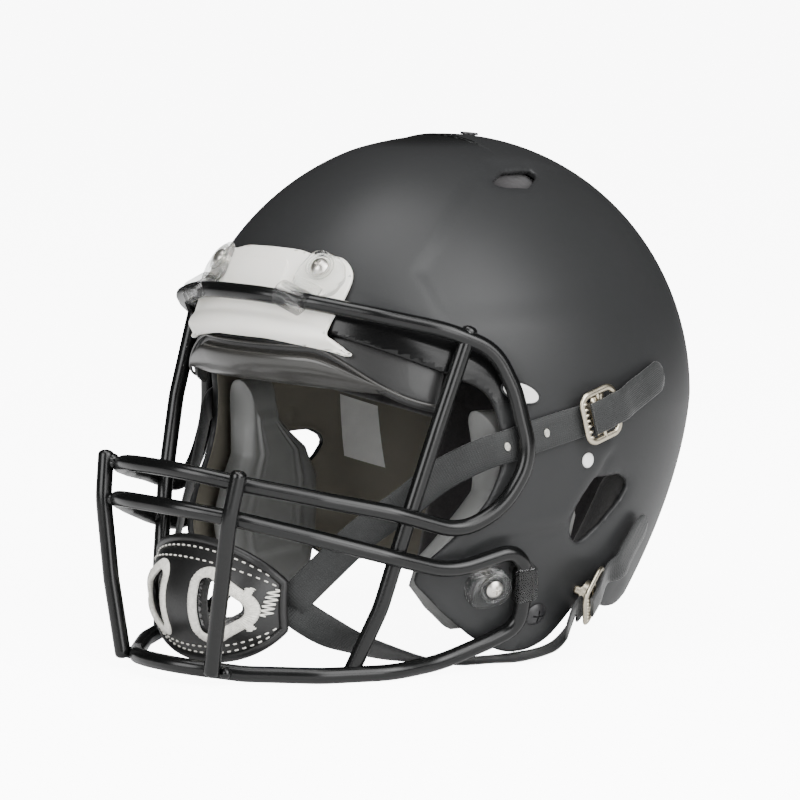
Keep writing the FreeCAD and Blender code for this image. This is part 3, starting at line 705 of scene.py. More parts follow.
def pad_vinyl(name, tone, rough):
    """Smooth vinyl skin over foam, with a slight grain and handling marks."""
    material, nodes, links, shader = new_material(name, tone, rough, Coat_Weight=0.1)
    marks = object_noise(nodes, links, 22.0, 4.0)
    vary_value(nodes, links, marks, shader.inputs["Roughness"], rough * 0.8, rough * 1.25)
    vary_colour(nodes, links, shader, marks, scaled(tone, 0.9), scaled(tone, 1.12))
    grain = object_noise(nodes, links, 700.0, 3.0)
    add_bump(nodes, links, shader, grain.outputs["Fac"], 0.1, 0.0003)
    return material


def thread_white():
    tone = colours().thread
    material, nodes, links, shader = new_material("thread_white", tone, 0.7, Sheen_Weight=0.2)
    noise = object_noise(nodes, links, 600.0, 3.0)
    vary_colour(nodes, links, shader, noise, scaled(tone, 0.8), scaled(tone, 1.15))
    add_bump(nodes, links, shader, noise.outputs["Fac"], 0.3, 0.0003)
    return material


def badge_white():
    material, nodes, links, shader = new_material("badge_white", (0.82, 0.82, 0.8), 0.25, Coat_Weight=0.6)
    noise = object_noise(nodes, links, 80.0, 3.0)
    vary_colour(nodes, links, shader, noise, (0.78, 0.78, 0.76), (0.85, 0.85, 0.83))
    return material


# ---- where things sit ----------------------------------------------------------------------------------
# outlines seen from the side are y and z, and from above x and y
FACE = [(-160, 65), (-66, 17), (-61, 0), (-60, -18), (-68, -36), (-81, -49), (-97, -68), (-98, -75),
        (-83, -91), (-65, -106), (-46, -115), (-32, -116), (-20, -111), (-7, -94), (2, -89), (15, -99),
        (34, -101), (49, -98), (100, -118), (170, -118), (170, 150), (-160, 150)]
SIDE_VENT = [(-6, -30), (13, -30), (23, -35), (16, -43), (1, -54), (-13, -63), (-20, -56), (-15, -40)]
TOP_VENT = [(59, -20), (53, -5), (52, 18), (57, 15), (65, 1), (63, -12)]
BAND = [(48, 50, 113), (48, 30, 119), (47.5, 10, 124), (47, -10, 123.5), (53, -28, 116), (58, -40, 108),
        (65, -56, 99), (69.5, -69, 87.5), (70.5, -82, 75), (76, -81, 68), (81, -80, 60), (85, -79, 50)]
JAW_CREASE = [(100, -75.5, -60.5), (104, -67.5, -56.5), (109.3, -50.5, -53.5), (112.8, -33, -52),
              (114.2, -22, -50), (116.1, -11.5, -38), (117.3, -2.5, -26), (117.6, 1, -20.5)]
REAR_CREASE = [(112, 12, -76), (108.5, 32, -83), (104, 40, -92)]
BUMPER_HALF = [(4, 82.6), (18, 82), (28, 80), (34, 79.8), (41, 79), (47, 74.5), (49.8, 69), (50, 60),
               (48.5, 52), (48, 45), (52, 40), (60, 35.8), (57, 34.8), (50, 36.8), (36, 39), (19, 41), (5, 41.4)]
BUMPER = BUMPER_HALF + [(-x, z) for x, z in reversed(BUMPER_HALF)]


def turned_frame(place, along):
    """Columns x, y, z of a frame on the shell: z outwards, x along the given direction."""
    z = normals_of(np.asarray(place, float)[None])[0]
    return frame_from(place, z, along)


def frame_from(place, z, along):
    along = np.asarray(along, float)
    x = unit(along - z * (along @ z))
    return np.asarray(place, float), np.stack([x, np.cross(z, x), z])


def in_frame(fr, points):
    """Points given along a frame's axes, in the object's own axes."""
    return fr[0] + np.asarray(points, float) @ fr[1]


TOP_CLIP = turned_frame(front_point(34.7, 73.4), (-0.17, -0.64, -0.75))
SIDE_CLIP = turned_frame(side_point(-63.0, -78.0), (0.3, 0.9, 0.12))
UPPER_SNAP = turned_frame(side_point(-9.0, 3.0), (0, 0.966, 0.26))
LOWER_PLACE = side_point(-9.0, -86.0)
TURN = math.radians(28)
LOWER_OUT = normals_of(LOWER_PLACE[None])[0] @ np.array([[math.cos(TURN), math.sin(TURN), 0],
                                                         [-math.sin(TURN), math.cos(TURN), 0], [0, 0, 1]])
LOWER_SNAP = frame_from(LOWER_PLACE + LOWER_OUT * 3.2, LOWER_OUT, (0, 0.8, 0.6))
SNAPS = {"upper": (UPPER_SNAP, (47.0, 18.0)), "lower": (LOWER_SNAP, (36.0, -54.0))}
BUCKLE_LOW = 4.9                                # height of a buckle's underside above its snap
TOOTH = ((0.3, 1.6), (1.8, 2.2), (3.2, 1.5))    # reach from the frame's end and height of each tooth's line


# ---- closed plates and cushions ------------------------------------------------------------------------
def plate_part(outline, profile, place):
    """Plate from a closed outline: rings at (inset, height) of the profile, closed by a point in the middle.

    place takes the arrays a, b, height to points.
    """
    o = np.asarray(outline, float)
    way = unit(np.roll(o, -1, 0) - np.roll(o, 1, 0))
    inward = np.stack([-way[:, 1], way[:, 0]], -1)
    area = (o[:, 0] * np.roll(o[:, 1], -1) - np.roll(o[:, 0], -1) * o[:, 1]).sum()
    inward *= math.copysign(1, area)
    if area < 0:
        o, inward = o[::-1], inward[::-1]
    p = np.asarray(profile, float)
    rings = o[None] + inward[None] * p[:, 0, None, None]
    heights = np.repeat(p[:, 1], len(o))
    middle = o.mean(0)
    flat = np.concatenate([rings.reshape(-1, 2), [middle, middle]])
    heights = np.concatenate([heights, [p[0, 1], p[-1, 1]]])
    n = len(o)
    quads = grid_faces(len(p), n, False, True)[:, ::-1]
    ring = np.arange(n)
    after = (ring + 1) % n
    last = (len(p) - 1) * n
    tris = np.concatenate([np.stack([after, ring, np.full(n, len(p) * n)], -1),
                           np.stack([ring + last, after + last, np.full(n, len(p) * n + 1)], -1)])
    return place(flat[:, 0], flat[:, 1], heights), quads, tris


def cushion_part(place, nu, nv, depth_of, wrap=False):
    """Closed cushion: a front and a back sheet of the same grid that meet round the border.

    place(u, v, side) gives points for u and v from 0 to 1; side is 0 on the back sheet and 1 on the front, and
    depth_of(u, v) is how much of the half thickness is there, 0 on the border.
    """
    u = 0.5 - 0.5 * np.cos(np.linspace(0, math.pi, nu))
    v = 0.5 - 0.5 * np.cos(np.linspace(0, math.pi, nv))
    u, v = 0.5 * u + 0.5 * np.linspace(0, 1, nu), 0.5 * v + 0.5 * np.linspace(0, 1, nv)
    uu, vv = (k.ravel() for k in np.meshgrid(u, v, indexing="ij"))
    share = depth_of(uu, vv)
    front = place(uu, vv, 0.5 + 0.5 * share)
    back = place(uu, vv, 0.5 - 0.5 * share)
    quads = grid_faces(nu, nv)
    return np.concatenate([front, back]), np.concatenate([quads, quads[:, ::-1] + len(uu)]), NO_TRIS


def border_depth(span_u, span_v, radius, seams=(), seam_width=7.0, seam_depth=0.5):
    """Share of a cushion's half thickness: a quarter round at its border, dipping along seams."""
    def depth(u, v):
        d = np.minimum(np.minimum(u, 1 - u) * span_u, np.minimum(v, 1 - v) * span_v)
        k = np.clip(d / radius, 0, 1)
        swell = 0.9 + 0.1 * np.sin(math.pi * u) * np.sin(math.pi * v)
        share = np.sqrt(np.clip(1 - (1 - k) ** 2, 0, 1)) * swell
        for axis, at_value in seams:
            gap = np.abs((u if axis == "u" else v) - at_value) * (span_u if axis == "u" else span_v)
            share = share * (1 - seam_depth * np.exp(-(gap / seam_width) ** 2 * 2.5))
        return share
    return depth


def weld(piece, distance=0.02):
    """Merge corners that lie together."""
    work = bmesh.new()
    work.from_mesh(piece.data)
    bmesh.ops.remove_doubles(work, verts=work.verts, dist=distance / 1000)
    work.to_mesh(piece.data)
    work.free()
    return piece


# ---- the pieces ------------------------------------------------------------------------------------------
class HELMET_OT_shell(bpy.types.Operator):
    """Moulded shell: the form's sheet cut to its face opening, vents and holes, with raised and sunk areas"""

    bl_idname = "helmet.shell"
    bl_label = "Shell"

    def execute(self, context):
        s = sizes()
        face = bent_line(FACE, True, 60.0, 2.0)
        side_vent = bent_line(SIDE_VENT, True, 7.0, 1.0)
        top_vent = bent_line(TOP_VENT, True, 5.0, 1.0)
        ear = side_point(-12.0, -20.0)

        def keep(p):
            ax = np.abs(p[..., 0])
            inside = outline_distance(p[..., 1], p[..., 2], face)
            side = -outline_distance(p[..., 1], p[..., 2], side_vent)
            top = np.where(p[..., 2] > 60, -outline_distance(ax, p[..., 1], top_vent), 50.0)
            ears = np.linalg.norm(np.stack([ax, p[..., 1], p[..., 2]], -1) - ear, axis=-1) - 3.2
            return np.minimum(np.minimum(inside, side), np.minimum(top, ears))

        def place(turn, rise):
            p = form(turn, rise)
            return p + normals_of(p) * self.relief(p, face, side_vent, top_vent)[..., None]

        turn = np.linspace(0, 2 * math.pi, 400, endpoint=False)
        rise = np.linspace(-118, CROWN * math.pi / 2, 150)
        points, quads, tris, flat = trimmed_part(turn, rise, form, keep, place, True)
        rest = form(flat[:, 0], flat[:, 1])
        edge = outline_distance(rest[:, 1], rest[:, 2], face)
        flange = (1 - step_up(edge, s.flange, s.flange + 7)) * step_up(rest[:, 2], 4, 16) * (rest[:, 1] < 0)
        piece = add_piece("shell_moulding", points, quads[:, ::-1], tris[:, ::-1],
                          materials=(shell_paint(), shell_inside()), mask=flange)
        weld(piece)
        thicken(piece, s.wall, 0.9, 1, 0, 2)
        settle(piece, "root", "shell_plastic", "shell")
        return {"FINISHED"}

    def relief(self, p, face, side_vent, top_vent):
        """Height above the plain form: raised crown band, flange, rolled jaw lip, creases and sunk panels."""
        q = np.stack([np.abs(p[..., 0]), p[..., 1], p[..., 2]], -1)
        d, along = line_distance(q, BAND)
        line = np.asarray(BAND, float)
        way = np.gradient(line, axis=0)
        axis = np.arange(len(line))
        near = np.stack([np.interp(along, axis, line[:, k]) for k in range(3)], -1)
        way = unit(np.stack([np.interp(along, axis, way[:, k]) for k in range(3)], -1))
        across = np.cross(normals_of(q), way)
        outer = step_up(((q - near) * across).sum(-1), -5, 5)
        fade = step_up(q[..., 1], 70, 20)
        lift = -1.7 * outer * fade * step_up(q[..., 2], 45, 62)
        edge = outline_distance(p[..., 1], p[..., 2], face)
        brow = step_up(q[..., 2], 2, 20) * (q[..., 1] < 0)
        lift = lift + (1.5 * np.exp(-((edge - 9) / 6.5) ** 2) - 1.4 * (1 - step_up(edge, 14, 24))) * brow
        jaw = step_up(-q[..., 2], 25, 45) * (q[..., 1] < -38)
        lift = lift + 1.0 * np.exp(-((edge - 3) / 3.2) ** 2) * jaw
        d, along = line_distance(q, JAW_CREASE)
        line = np.asarray(JAW_CREASE, float)
        near = np.stack([np.interp(along, np.arange(len(line)), line[:, k]) for k in range(3)], -1)
        ahead = unit(q - near) @ unit(np.array([0.0, -1.0, 0.9]))
        raised = step_up(ahead * np.minimum(d, 3) / 3, -0.5, 0.5)
        lift = lift + 1.5 * np.exp(-(d / 9.0) ** 2) * raised - 0.9 * np.exp(-(d / 3.5) ** 2)
        vent = -outline_distance(p[..., 1], p[..., 2], side_vent)
        lift = lift - 1.2 * np.exp(-np.maximum(vent, 0) / 3.0) * (np.abs(q[..., 0]) > 60)
        top = -outline_distance(q[..., 0], q[..., 1], top_vent)
        lift = lift - 1.3 * np.exp(-np.maximum(top, 0) / 3.0) * (q[..., 2] > 60)
        d, along = line_distance(q, REAR_CREASE)
        lift = lift + 2.0 * np.exp(-(d / 9.0) ** 2)
        return lift


class HELMET_OT_bumper(bpy.types.Operator):
    """Front bumper: one sheet over the brow that bulges and rolls under at its lower edge"""

    bl_idname = "helmet.bumper"
    bl_label = "Front bumper"

    def execute(self, context):
        outline = smooth_line(BUMPER, 220, True)

        def keep(p):
            return outline_distance(p[..., 0], p[..., 2], outline)

        def place(x, z):
            p = front_point(x, z)
            brow = 17 + 0.51 * (-66 - p[:, 1])
            below = step_up(brow - z, 0, 6)
            lower = step_up(-(z - 41 + np.abs(x) * 0.06), -6, 0.5)
            lift = 3.2 + 1.6 * np.sin(np.clip((brow + 3 - z) / 14, 0, 1) * math.pi) - 4.5 * lower ** 2
            return p + normals_of(p) * (lift - 0.5 * below)[:, None]

        x = np.linspace(-68, 68, 120)
        z = np.linspace(32, 87, 70)
        points, quads, tris, flat = trimmed_part(x, z, front_point, keep, place)
        piece = add_piece("bumper_skin", points, quads, tris, materials=(bumper_plastic(),))
        thicken(piece, 2.6, 1.0, 0, 0, 3)
        settle(piece, "root", "bumper_white", "front_bumper")
        return {"FINISHED"}


def loop_line(left_half, largest):
    left = np.asarray(left_half, float)
    return bent_line(np.concatenate([left, mirror_points(left[::-1])]), True, largest)


UPPER_LOOP = [(14, -136.5, 63.5), (42, -128, 60.8), (72, -110, 55), (96, -87, 48), (107, -66, 38),
              (113, -58.5, 18), (118.8, -53, -15), (113.4, -66.6, -38), (104, -86, -49), (92, -118, -38),
              (72, -146, -30.8),
              (46, -174.5, -23), (20, -191, -17.3)]
LOWER_LOOP = [(20, -193, -35.2), (45, -177.5, -39.6), (70, -149, -49), (90, -119.5, -59), (100.5, -89, -68.5),
              (112.5, -57, -60), (112, -48.5, -73), (104.5, -47, -100), (97, -61, -107), (87.5, -84, -115.3),
              (84, -112, -117), (66, -142, -117.2), (40, -169, -116.2), (16, -189.5, -112.8)]
FRONT_BAR = [(45.2, -175, -17.5), (42.8, -178.9, -38.5), (36.5, -179.6, -78), (29, -178.8, -114.5)]
WELD_BEAD = [(0, -3.8), (1.6, -3.4), (2.7, -2), (3.1, 0), (2.7, 2), (1.6, 3.4), (0, 3.8)]
SIDE_BAR = [(105, -80.5, 47.5), (101, -99, 0), (95, -112, -42), (87, -122.5, -85), (76, -131.5, -116)]


class HELMET_OT_mask(bpy.types.Operator):
    """Face mask: coated wires swept along straight runs and tangent arcs, with beads where they are welded"""

    bl_idname = "helmet.mask"
    bl_label = "Face mask"

    def execute(self, context):
        r = sizes().wire
        coat = mask_coating()
        loops = {"upper": loop_line(UPPER_LOOP, 45.0), "lower": loop_line(LOWER_LOOP, 45.0)}
        for name, line in loops.items():
            wire = tube_part(closed_line(line, 420), r, True, 18)
            piece = add_piece("mask_wire_" + name, *wire, materials=(coat,))
            settle(piece, "root", "mask_coating", "mask_" + name + "_loop")
        reach = 2 * r - 1.4
        bars = {"front": np.asarray(FRONT_BAR) + np.array([0.62, -0.78, 0]) * reach,
                "side": np.asarray(SIDE_BAR) - np.array([0.78, -0.62, 0]) * reach}
        for name, points in bars.items():
            line = even_line(bent_line(points, False, 60.0), 70)
            parts = [both_sides(tube_part(line, r, False, 18))]
            for loop in loops.values():
                d, place = line_distance(line, np.concatenate([loop, loop[:1]]))
                spots = [i for i in range(1, len(d) - 1) if d[i] <= d[i - 1] and d[i] < d[i + 1] and d[i] < 9]
                spots += [i for i in (0, len(d) - 1) if d[i] < 9]
                for i in spots:
                    other = loop[int(place[i]) % len(loop)]
                    toward = unit(other - line[i])
                    middle = (line[i] + other) / 2
                    bead = lathe_part(WELD_BEAD, middle, np.cross(toward, (0.1, 0.2, 1)), 18)
                    parts.append(both_sides(bead))
            piece = add_piece("mask_" + name + "_wires", *join_parts(parts), materials=(coat,))
            settle(piece, "root", "mask_coating", "mask_" + name + "_bars")
        return {"FINISHED"}


class HELMET_OT_clips(bpy.types.Operator):
    """Clear clips: straps looped round the brow wire, and rounded blocks at the jaw"""

    bl_idname = "helmet.clips"
    bl_label = "Mask clips"

    def execute(self, context):
        clear = clear_plastic()
        bar = (np.array([34.7, -131.0, 61.9]) - TOP_CLIP[0]) @ TOP_CLIP[1].T
        ring = 5.2
        angle = np.radians(np.linspace(70, -215, 40)) + math.pi / 2 - 1.2
        loop = np.stack([bar[0] + ring * np.sin(angle), bar[2] + ring * np.cos(angle)], -1)
        path = smooth_line(np.concatenate([[(9, 4.9), (bar[0] - 5, 5.2)], loop[::4]]), 90)
        line = in_frame(TOP_CLIP, np.stack([path[:, 0], 0 * path[:, 0], path[:, 1]], -1))
        facing = np.cross(np.tile(-TOP_CLIP[1][1], (len(line), 1)), tangents(line))
        strap = wide_ribbon(line, facing, np.full(len(line), 17.0), 2.4)
        lobe = [(-8, -8), (-7.5, 9), (0, 14.5), (9, 14), (14, 9.5), (14, -9), (4, -9.5)]
        lobe = bent_line(lobe, True, 7.0, 1.0)
        lobe = closed_line(lobe, 90)
        profile = [(0.5, 3.6), (0, 4.1), (0, 5.9), (0.5, 6.5), (1.8, 6.6), (2.6, 6.2), (3.4, 6.1)]
        plate = plate_part(lobe, profile, self.on_brow)
        for side, sign in SIDES:
            parts = [strap, plate, self.boss(TOP_CLIP, 6.4, 6.2)]
            piece = add_piece("brow_clip_" + side, *sided(join_parts(parts), sign), materials=(clear,))
            piece.data.set_sharp_from_angle(angle=math.radians(50))
            settle(piece, "root", "clear_plastic", "top_clip_" + side)
        body = bent_line([(-14, -10), (9.6, -9.8), (9.6, 9.5), (-14, 9.5)], True, 9.4, 1.0)
        body = closed_line(body, 90)
        hook = bent_line([(9.8, -9.8), (22.6, -9.2), (22.6, 9.2), (9.8, 9.6)], True, 2.6, 0.6)
        hook = closed_line(hook, 80)
        low = [(0, 0.6), (0, 4.6), (0.5, 5.6), (1.6, 6.2), (2.8, 6.0), (3.6, 5.6)]
        high = [(0, 0.6), (0, 7.0), (0.5, 8.2), (1.6, 8.9), (3.0, 8.9)]
        parts = [plate_part(shape, profile, lambda a, b, h: in_frame(SIDE_CLIP, np.stack([a, b, h], -1)))
                 for shape, profile in ((body, low), (hook, high))]
        block = join_parts(parts + [self.boss(SIDE_CLIP, 6.6, 5.6)])
        for side, sign in SIDES:
            piece = add_piece("jaw_clip_" + side, *sided(block, sign), materials=(clear,))
            settle(piece, "root", "clear_plastic", "side_clip_" + side)
        return {"FINISHED"}

    def on_brow(self, a, b, h):
        """Points given along the top clip's frame, laid on the brow at a height above the form."""
        p = in_frame(TOP_CLIP, np.stack([a, b, 0 * a], -1))
        return front_point(p[:, 0], p[:, 2], h)

    def boss(self, fr, radius, height):
        """Raised ring round a screw head."""
        angle = np.arange(48) * 2 * math.pi / 48
        ring = np.stack([radius * np.cos(angle), radius * np.sin(angle), np.full(48, height)], -1)
        return tube_part(in_frame(fr, ring), 0.9, True, 10, centre=fr[0])


def wide_ribbon(line, facing, width, thickness):
    """Moulded strap along a line whose width varies, with well rounded edges."""
    along = tangents(line)
    across = unit(np.cross(along, facing))
    up = unit(np.cross(across, along))
    t = thickness / 2
    angle = np.linspace(-math.pi / 2, math.pi / 2, 7)
    right = np.stack([np.cos(angle) * t - t, np.sin(angle) * t], -1)
    left = -right
    edge = np.concatenate([np.full(7, 0.5), np.full(7, -0.5)])
    offset = np.concatenate([right, left])
    side = edge[None] * np.asarray(width)[:, None] + offset[None, :, 0]
    points = line[:, None] + side[..., None] * across[:, None] + offset[None, :, 1, None] * up[:, None]
    n, m = points.shape[:2]
    return points.reshape(-1, 3), grid_faces(n, m, False, True), end_caps(n, m)


class HELMET_OT_badges(bpy.types.Operator):
    """Oval badges, blank, with a black rim"""

    bl_idname = "helmet.badges"
    bl_label = "Side badges"

    def execute(self, context):
        angle = np.arange(64) * 2 * math.pi / 64
        oval = np.stack([np.cos(angle) * 10.4, np.sin(angle) * 4.8], -1)
        tilt = math.radians(-21)

        def place(a, b, h):
            y = -51 + a * math.cos(tilt) - b * math.sin(tilt)
            z = 16 + a * math.sin(tilt) + b * math.cos(tilt)
            return side_point(y, z, h)

        rim = plate_part(oval, [(0, 0.3), (0, 0.9), (0.3, 1.15), (0.9, 1.15), (1.1, 0.95)], place)
        face = plate_part(oval * 0.9, [(0, 0.95), (0, 1.15), (0.25, 1.3), (1.5, 1.42)], place)
        piece = add_piece("badge_rims", *both_sides(rim), materials=(black_nylon(),))
        settle(piece, "root", "badge_white", "side_badges")
        piece = add_piece("badge_faces", *both_sides(face), materials=(badge_white(),))
        settle(piece, "root", "badge_white")
        return {"FINISHED"}


class HELMET_OT_hardware(bpy.types.Operator):
    """Screws, nuts, studs, sockets and valves keep their machined shapes and get their finishes; ear plugs"""

    bl_idname = "helmet.hardware"
    bl_label = "Hardware"

    def execute(self, context):
        steel = plated_metal("screw_steel", (0.62, 0.6, 0.56), 0.3)
        black = black_nylon()
        nickel = plated_metal("snap_nickel", colours().buckle, 0.3)
        finishes = {"top_clip_screws": steel, "side_clip_screws": steel, "mask_nuts": steel,
                    "jaw_pad_nuts": steel, "jaw_pad_screws": black, "snap_studs": nickel,
                    "inflation_valves": black,
                    "front_nameplate": bumper_plastic()}
        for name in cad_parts:
            if name.startswith("snap_socket"):
                finishes[name] = nickel
        for name, material in finishes.items():
            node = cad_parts[name]
            node.data.materials.clear()
            node.data.materials.append(material)
        ear = turned_frame(side_point(-12.0, -20.0), (0, 1, 0))
        profile = [(0, -2.4), (3.0, -2.4), (3.0, -0.2), (3.7, 0.1), (3.8, 0.5), (3.2, 0.95), (1.8, 1.2),
                   (0, 1.3)]
        plug = lathe_part(profile, ear[0], ear[1][2], 32)
        piece = add_piece("ear_plugs", *both_sides(plug), materials=(badge_white(),))
        settle(piece, "root", "badge_white")
        return {"FINISHED"}


class HELMET_OT_buckles(bpy.types.Operator):
    """Plated buckles: a rounded frame, a middle bar and a toothed bar, riding with the webbing's tails"""

    bl_idname = "helmet.buckles"
    bl_label = "Buckles"

    def execute(self, context):
        metal = plated_metal("buckle_plating", colours().buckle)
        half_long, half_wide = 10.8, 11.8
        corners = [(-half_long, -half_wide, 0), (half_long, -half_wide, 0), (half_long, half_wide, 0),
                   (-half_long, half_wide, 0)]
        ring = bent_line(corners, True, 5.0, 0.7)
        ring = closed_line(ring, 120) + np.array([0, 0, BUCKLE_LOW + 1.2])
        for level_name, (fr, tail) in SNAPS.items():
            parts = [tube_part(ring, 1.75, True, 14, centre=(0, 0, BUCKLE_LOW - 400), squash=0.62)]
            cross = np.array([[0, -half_wide, BUCKLE_LOW + 1.1], [0, half_wide, BUCKLE_LOW + 1.1]])
            parts.append(tube_part(even_line(cross, 12), 1.2, False, 12, centre=(0, 0, -400)))
            for k in np.linspace(-8.6, 8.6, 7):
                tooth = [(reach - half_long, k, BUCKLE_LOW + height) for reach, height in TOOTH]
                parts.append(tube_part(tooth, (0.9, 0.8, 0.4), False, 8, centre=(0, 0, -400)))
            strip = [(-4.5, -9.6), (4.5, -9.6), (4.5, 9.6), (-4.5, 9.6)]
            profile = [(0.2, 0), (0, 0.2), (0, 0.7), (0.2, 0.9)]
            parts.append(plate_part(even_line(strip + strip[:1], 40, True), profile,
                                    lambda a, b, h: np.stack([a, b, h + BUCKLE_LOW], -1)))
            p, q, t = join_parts(parts)
            for side, sign in SIDES:
                which = level_name + "_" + side
                part = sided((in_frame(fr, p), q, t), sign)
                piece = add_piece("buckle_frame_" + which, *part, materials=(metal,))
                settle(piece, "buckle_" + which, "buckle_nickel", "buckle_" + which)
        return {"FINISHED"}


UPPER_ROUTE = [(42, -143, -86), (47.5, -141, -80.5), (55, -130.5, -68), (65.5, -116, -51.5), (77, -100, -38),
               (88.5, -85, -23.5), (101.5, -70.5, -13.5)]
UPPER_FACING = [(0.75, -0.6, 0.15), (0.75, -0.6, 0.15), (0.75, -0.6, 0.15), (0.78, -0.6, 0.15),
                (0.8, -0.58, 0.1), (0.84, -0.52, 0.05), (0.88, -0.46, 0)]
LOWER_ROUTE = [(42, -142, -84), (47.5, -139.5, -90), (53, -128, -98.5), (59, -116, -105), (66, -98, -112),
               (72, -82, -116.5), (78, -67, -118.6), (84, -50, -119.2), (90, -33, -119.2), (98, -17, -115.5),
               (104.5, -11, -106)]
LOWER_FACING = [(0.75, -0.6, 0.1), (0.75, -0.6, 0), (0.7, -0.6, -0.2), (0.55, -0.5, -0.6), (0.4, -0.35, -0.85),
                (0.2, -0.15, -0.97), (0, 0, -1), (0, 0, -1), (0, 0.1, -1), (0.35, 0.55, -0.75),
                (0.6, 0.65, -0.4)]
RIB_DEPTH = 0.34


class HELMET_OT_straps(bpy.types.Operator):
    """Ribbed webbing from the chin cup to the buckles, and the tails beyond them"""

    bl_idname = "helmet.straps"
    bl_label = "Straps"

    def execute(self, context):
        s = sizes()
        web = strap_webbing()
        spots = np.array([side_point(y, z) for y, z in ((-60.0, -9.5), (-51.0, -7.0), (-40.0, -4.3))])
        out = normals_of(spots)
        upper_route = np.concatenate([UPPER_ROUTE, spots + out * 2.1])
        routes = {"upper": (upper_route, np.concatenate([UPPER_FACING, out])),
                  "lower": (np.asarray(LOWER_ROUTE, float), np.asarray(LOWER_FACING, float))}
        for name, (fr, tail) in SNAPS.items():
            route, facing = routes[name]
            stop = in_frame(fr, [(-14.5, 0, 1.6), (-8.0, 0, BUCKLE_LOW - 1.6)])
            route = np.concatenate([route, stop])
            facing = np.concatenate([facing, [fr[1][2]] * 2])
            both_lines = smooth_line(np.concatenate([route, facing], -1), 400)
            length = line_length(both_lines[:, :3])
            both_lines = even_line(both_lines, int(length / s.rib_pitch * 3))
            line, face = both_lines[:, :3], unit(both_lines[:, 3:])
            cut = int(len(line) * 0.4)
            for part_name, low, high in (("front", 0, cut + 1), ("rear", cut, len(line))):
                part = ribbon_part(line[low:high], face[low:high], s.strap, s.webbing, RIB_DEPTH, s.rib_pitch)
                for side, sign in SIDES:
                    p, q, t = sided(part, sign)
                    which = name + "_" + side
                    title = "webbing_" + name + "_" + part_name + "_" + side
                    piece = add_piece(title, p, q, t, part[3], (web,))
                    flip = np.array([sign, 1, 1])
                    settle(piece, None, "webbing", *(["strap_" + which] if part_name == "rear" else []))
                    if part_name == "front":
                        spot(*(line[0] * flip))
                        spot(*(line[cut - 12] * flip))
                        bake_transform(piece)
                    else:
                        spot(*(line[-70] * flip))
                        spot(*(line[-12] * flip))
                        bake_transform(piece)
                if name == "upper":
                    dots = [self.dot(line, face, len(line) - back, s.webbing / 2) for back in (58, 112)]
                    for side, sign in SIDES:
                        pair = sided(join_parts(dots), sign)
                        piece = add_piece("strap_dots_" + side, *pair, materials=(thread_white(),))
                        settle(piece, "root", "webbing")
            self.tail(name, fr, tail, web)
        return {"FINISHED"}

    def dot(self, line, face, i, lift):
        """Small oval disc on the webbing's outside."""
        along = unit(line[i + 1] - line[i - 1])
        fr = frame_from(line[i] + face[i] * (lift + 0.12), face[i], along)
        angle = np.arange(28) * 2 * math.pi / 28
        oval = np.stack([1.5 * np.cos(angle), 2.1 * np.sin(angle)], -1)
        return plate_part(oval, [(0, -0.3), (0, 0.0), (0.3, 0.12), (0.9, 0.14)],
                          lambda a, b, h: in_frame(fr, np.stack([a, b, h], -1)))

    def tail(self, name, fr, end, web):
        """The tail goes over the buckle's bar, out under its end and along the shell to a rounded end."""
        s = sizes()
        start = in_frame(fr, [(-7.0, 0, BUCKLE_LOW + 3.3), (2, 0, BUCKLE_LOW + 3.5), (7.5, 0, BUCKLE_LOW + 2.7),
                              (15, 0, BUCKLE_LOW + 2.4)])
        k = np.arange(1, 6) / 5
        last = start[-1]
        base = side_point(last[1] + (end[0] - last[1]) * k, last[2] + (end[1] - last[2]) * k)
        out = normals_of(base)
        above = (2.4 if name == "upper" else 3.8) + (1 - k[:, None]) ** 2 * 5
        route = np.concatenate([start, base + out * above])
        facing = np.concatenate([[fr[1][2]] * 4, out])
        lines = smooth_line(np.concatenate([route, facing], -1), 300)
        lines = even_line(lines, int(line_length(lines[:, :3]) / s.rib_pitch * 3))
        part = ribbon_part(lines[:, :3], unit(lines[:, 3:]), s.strap, s.webbing, RIB_DEPTH, s.rib_pitch, True)
        for side, sign in SIDES:
            p, q, t = sided(part, sign)
            piece = add_piece("webbing_tail_" + name + "_" + side, p, q, t, part[3], (web,))
            settle(piece, "buckle_" + name + "_" + side, "webbing", "strap_tail_" + name + "_" + side)


def cup_surface(s, t, depth):
    """Chin cup: s across and t up from -1 to 1, bowed forwards in the middle; depth goes inwards."""
    half_height = 10.5 + 19.5 * (1 - s * s)
    x = (CUP_HALF_WIDTH - depth) * np.sin(s * CUP_HALF_TURN) / math.sin(CUP_HALF_TURN)
    bow = (1 - s * s) * (31 - 16 * t * t)
    return np.stack([x, -147 - bow + depth * (1 - 0.4 * s * s), -85 + half_height * t], -1)


CUP_HALF_WIDTH = 46.0
CUP_HALF_TURN = math.radians(72)
CUP_MIDDLE = (0, -120, -85)
THREAD = 0.42           # radius
# round the whipped rim of a vent: reach away from it and depth
RIM_SECTION = [(-0.4, 1.2), (-0.7, 0.2), (-0.3, -0.5), (0.6, -0.9), (2.2, -1.0), (3.6, -0.8), (4.3, -0.1),
               (3.8, 0.8), (2.0, 1.6)]
STITCH_LIFT = np.array([0.2, 0.4, 0.3, 0.3, 0.3, 0.2, 0.1, 0.1])
CUP_VENT = [(12.5, -72), (12.5, -99.5), (18, -101), (41, -86.5), (18, -70.5)]


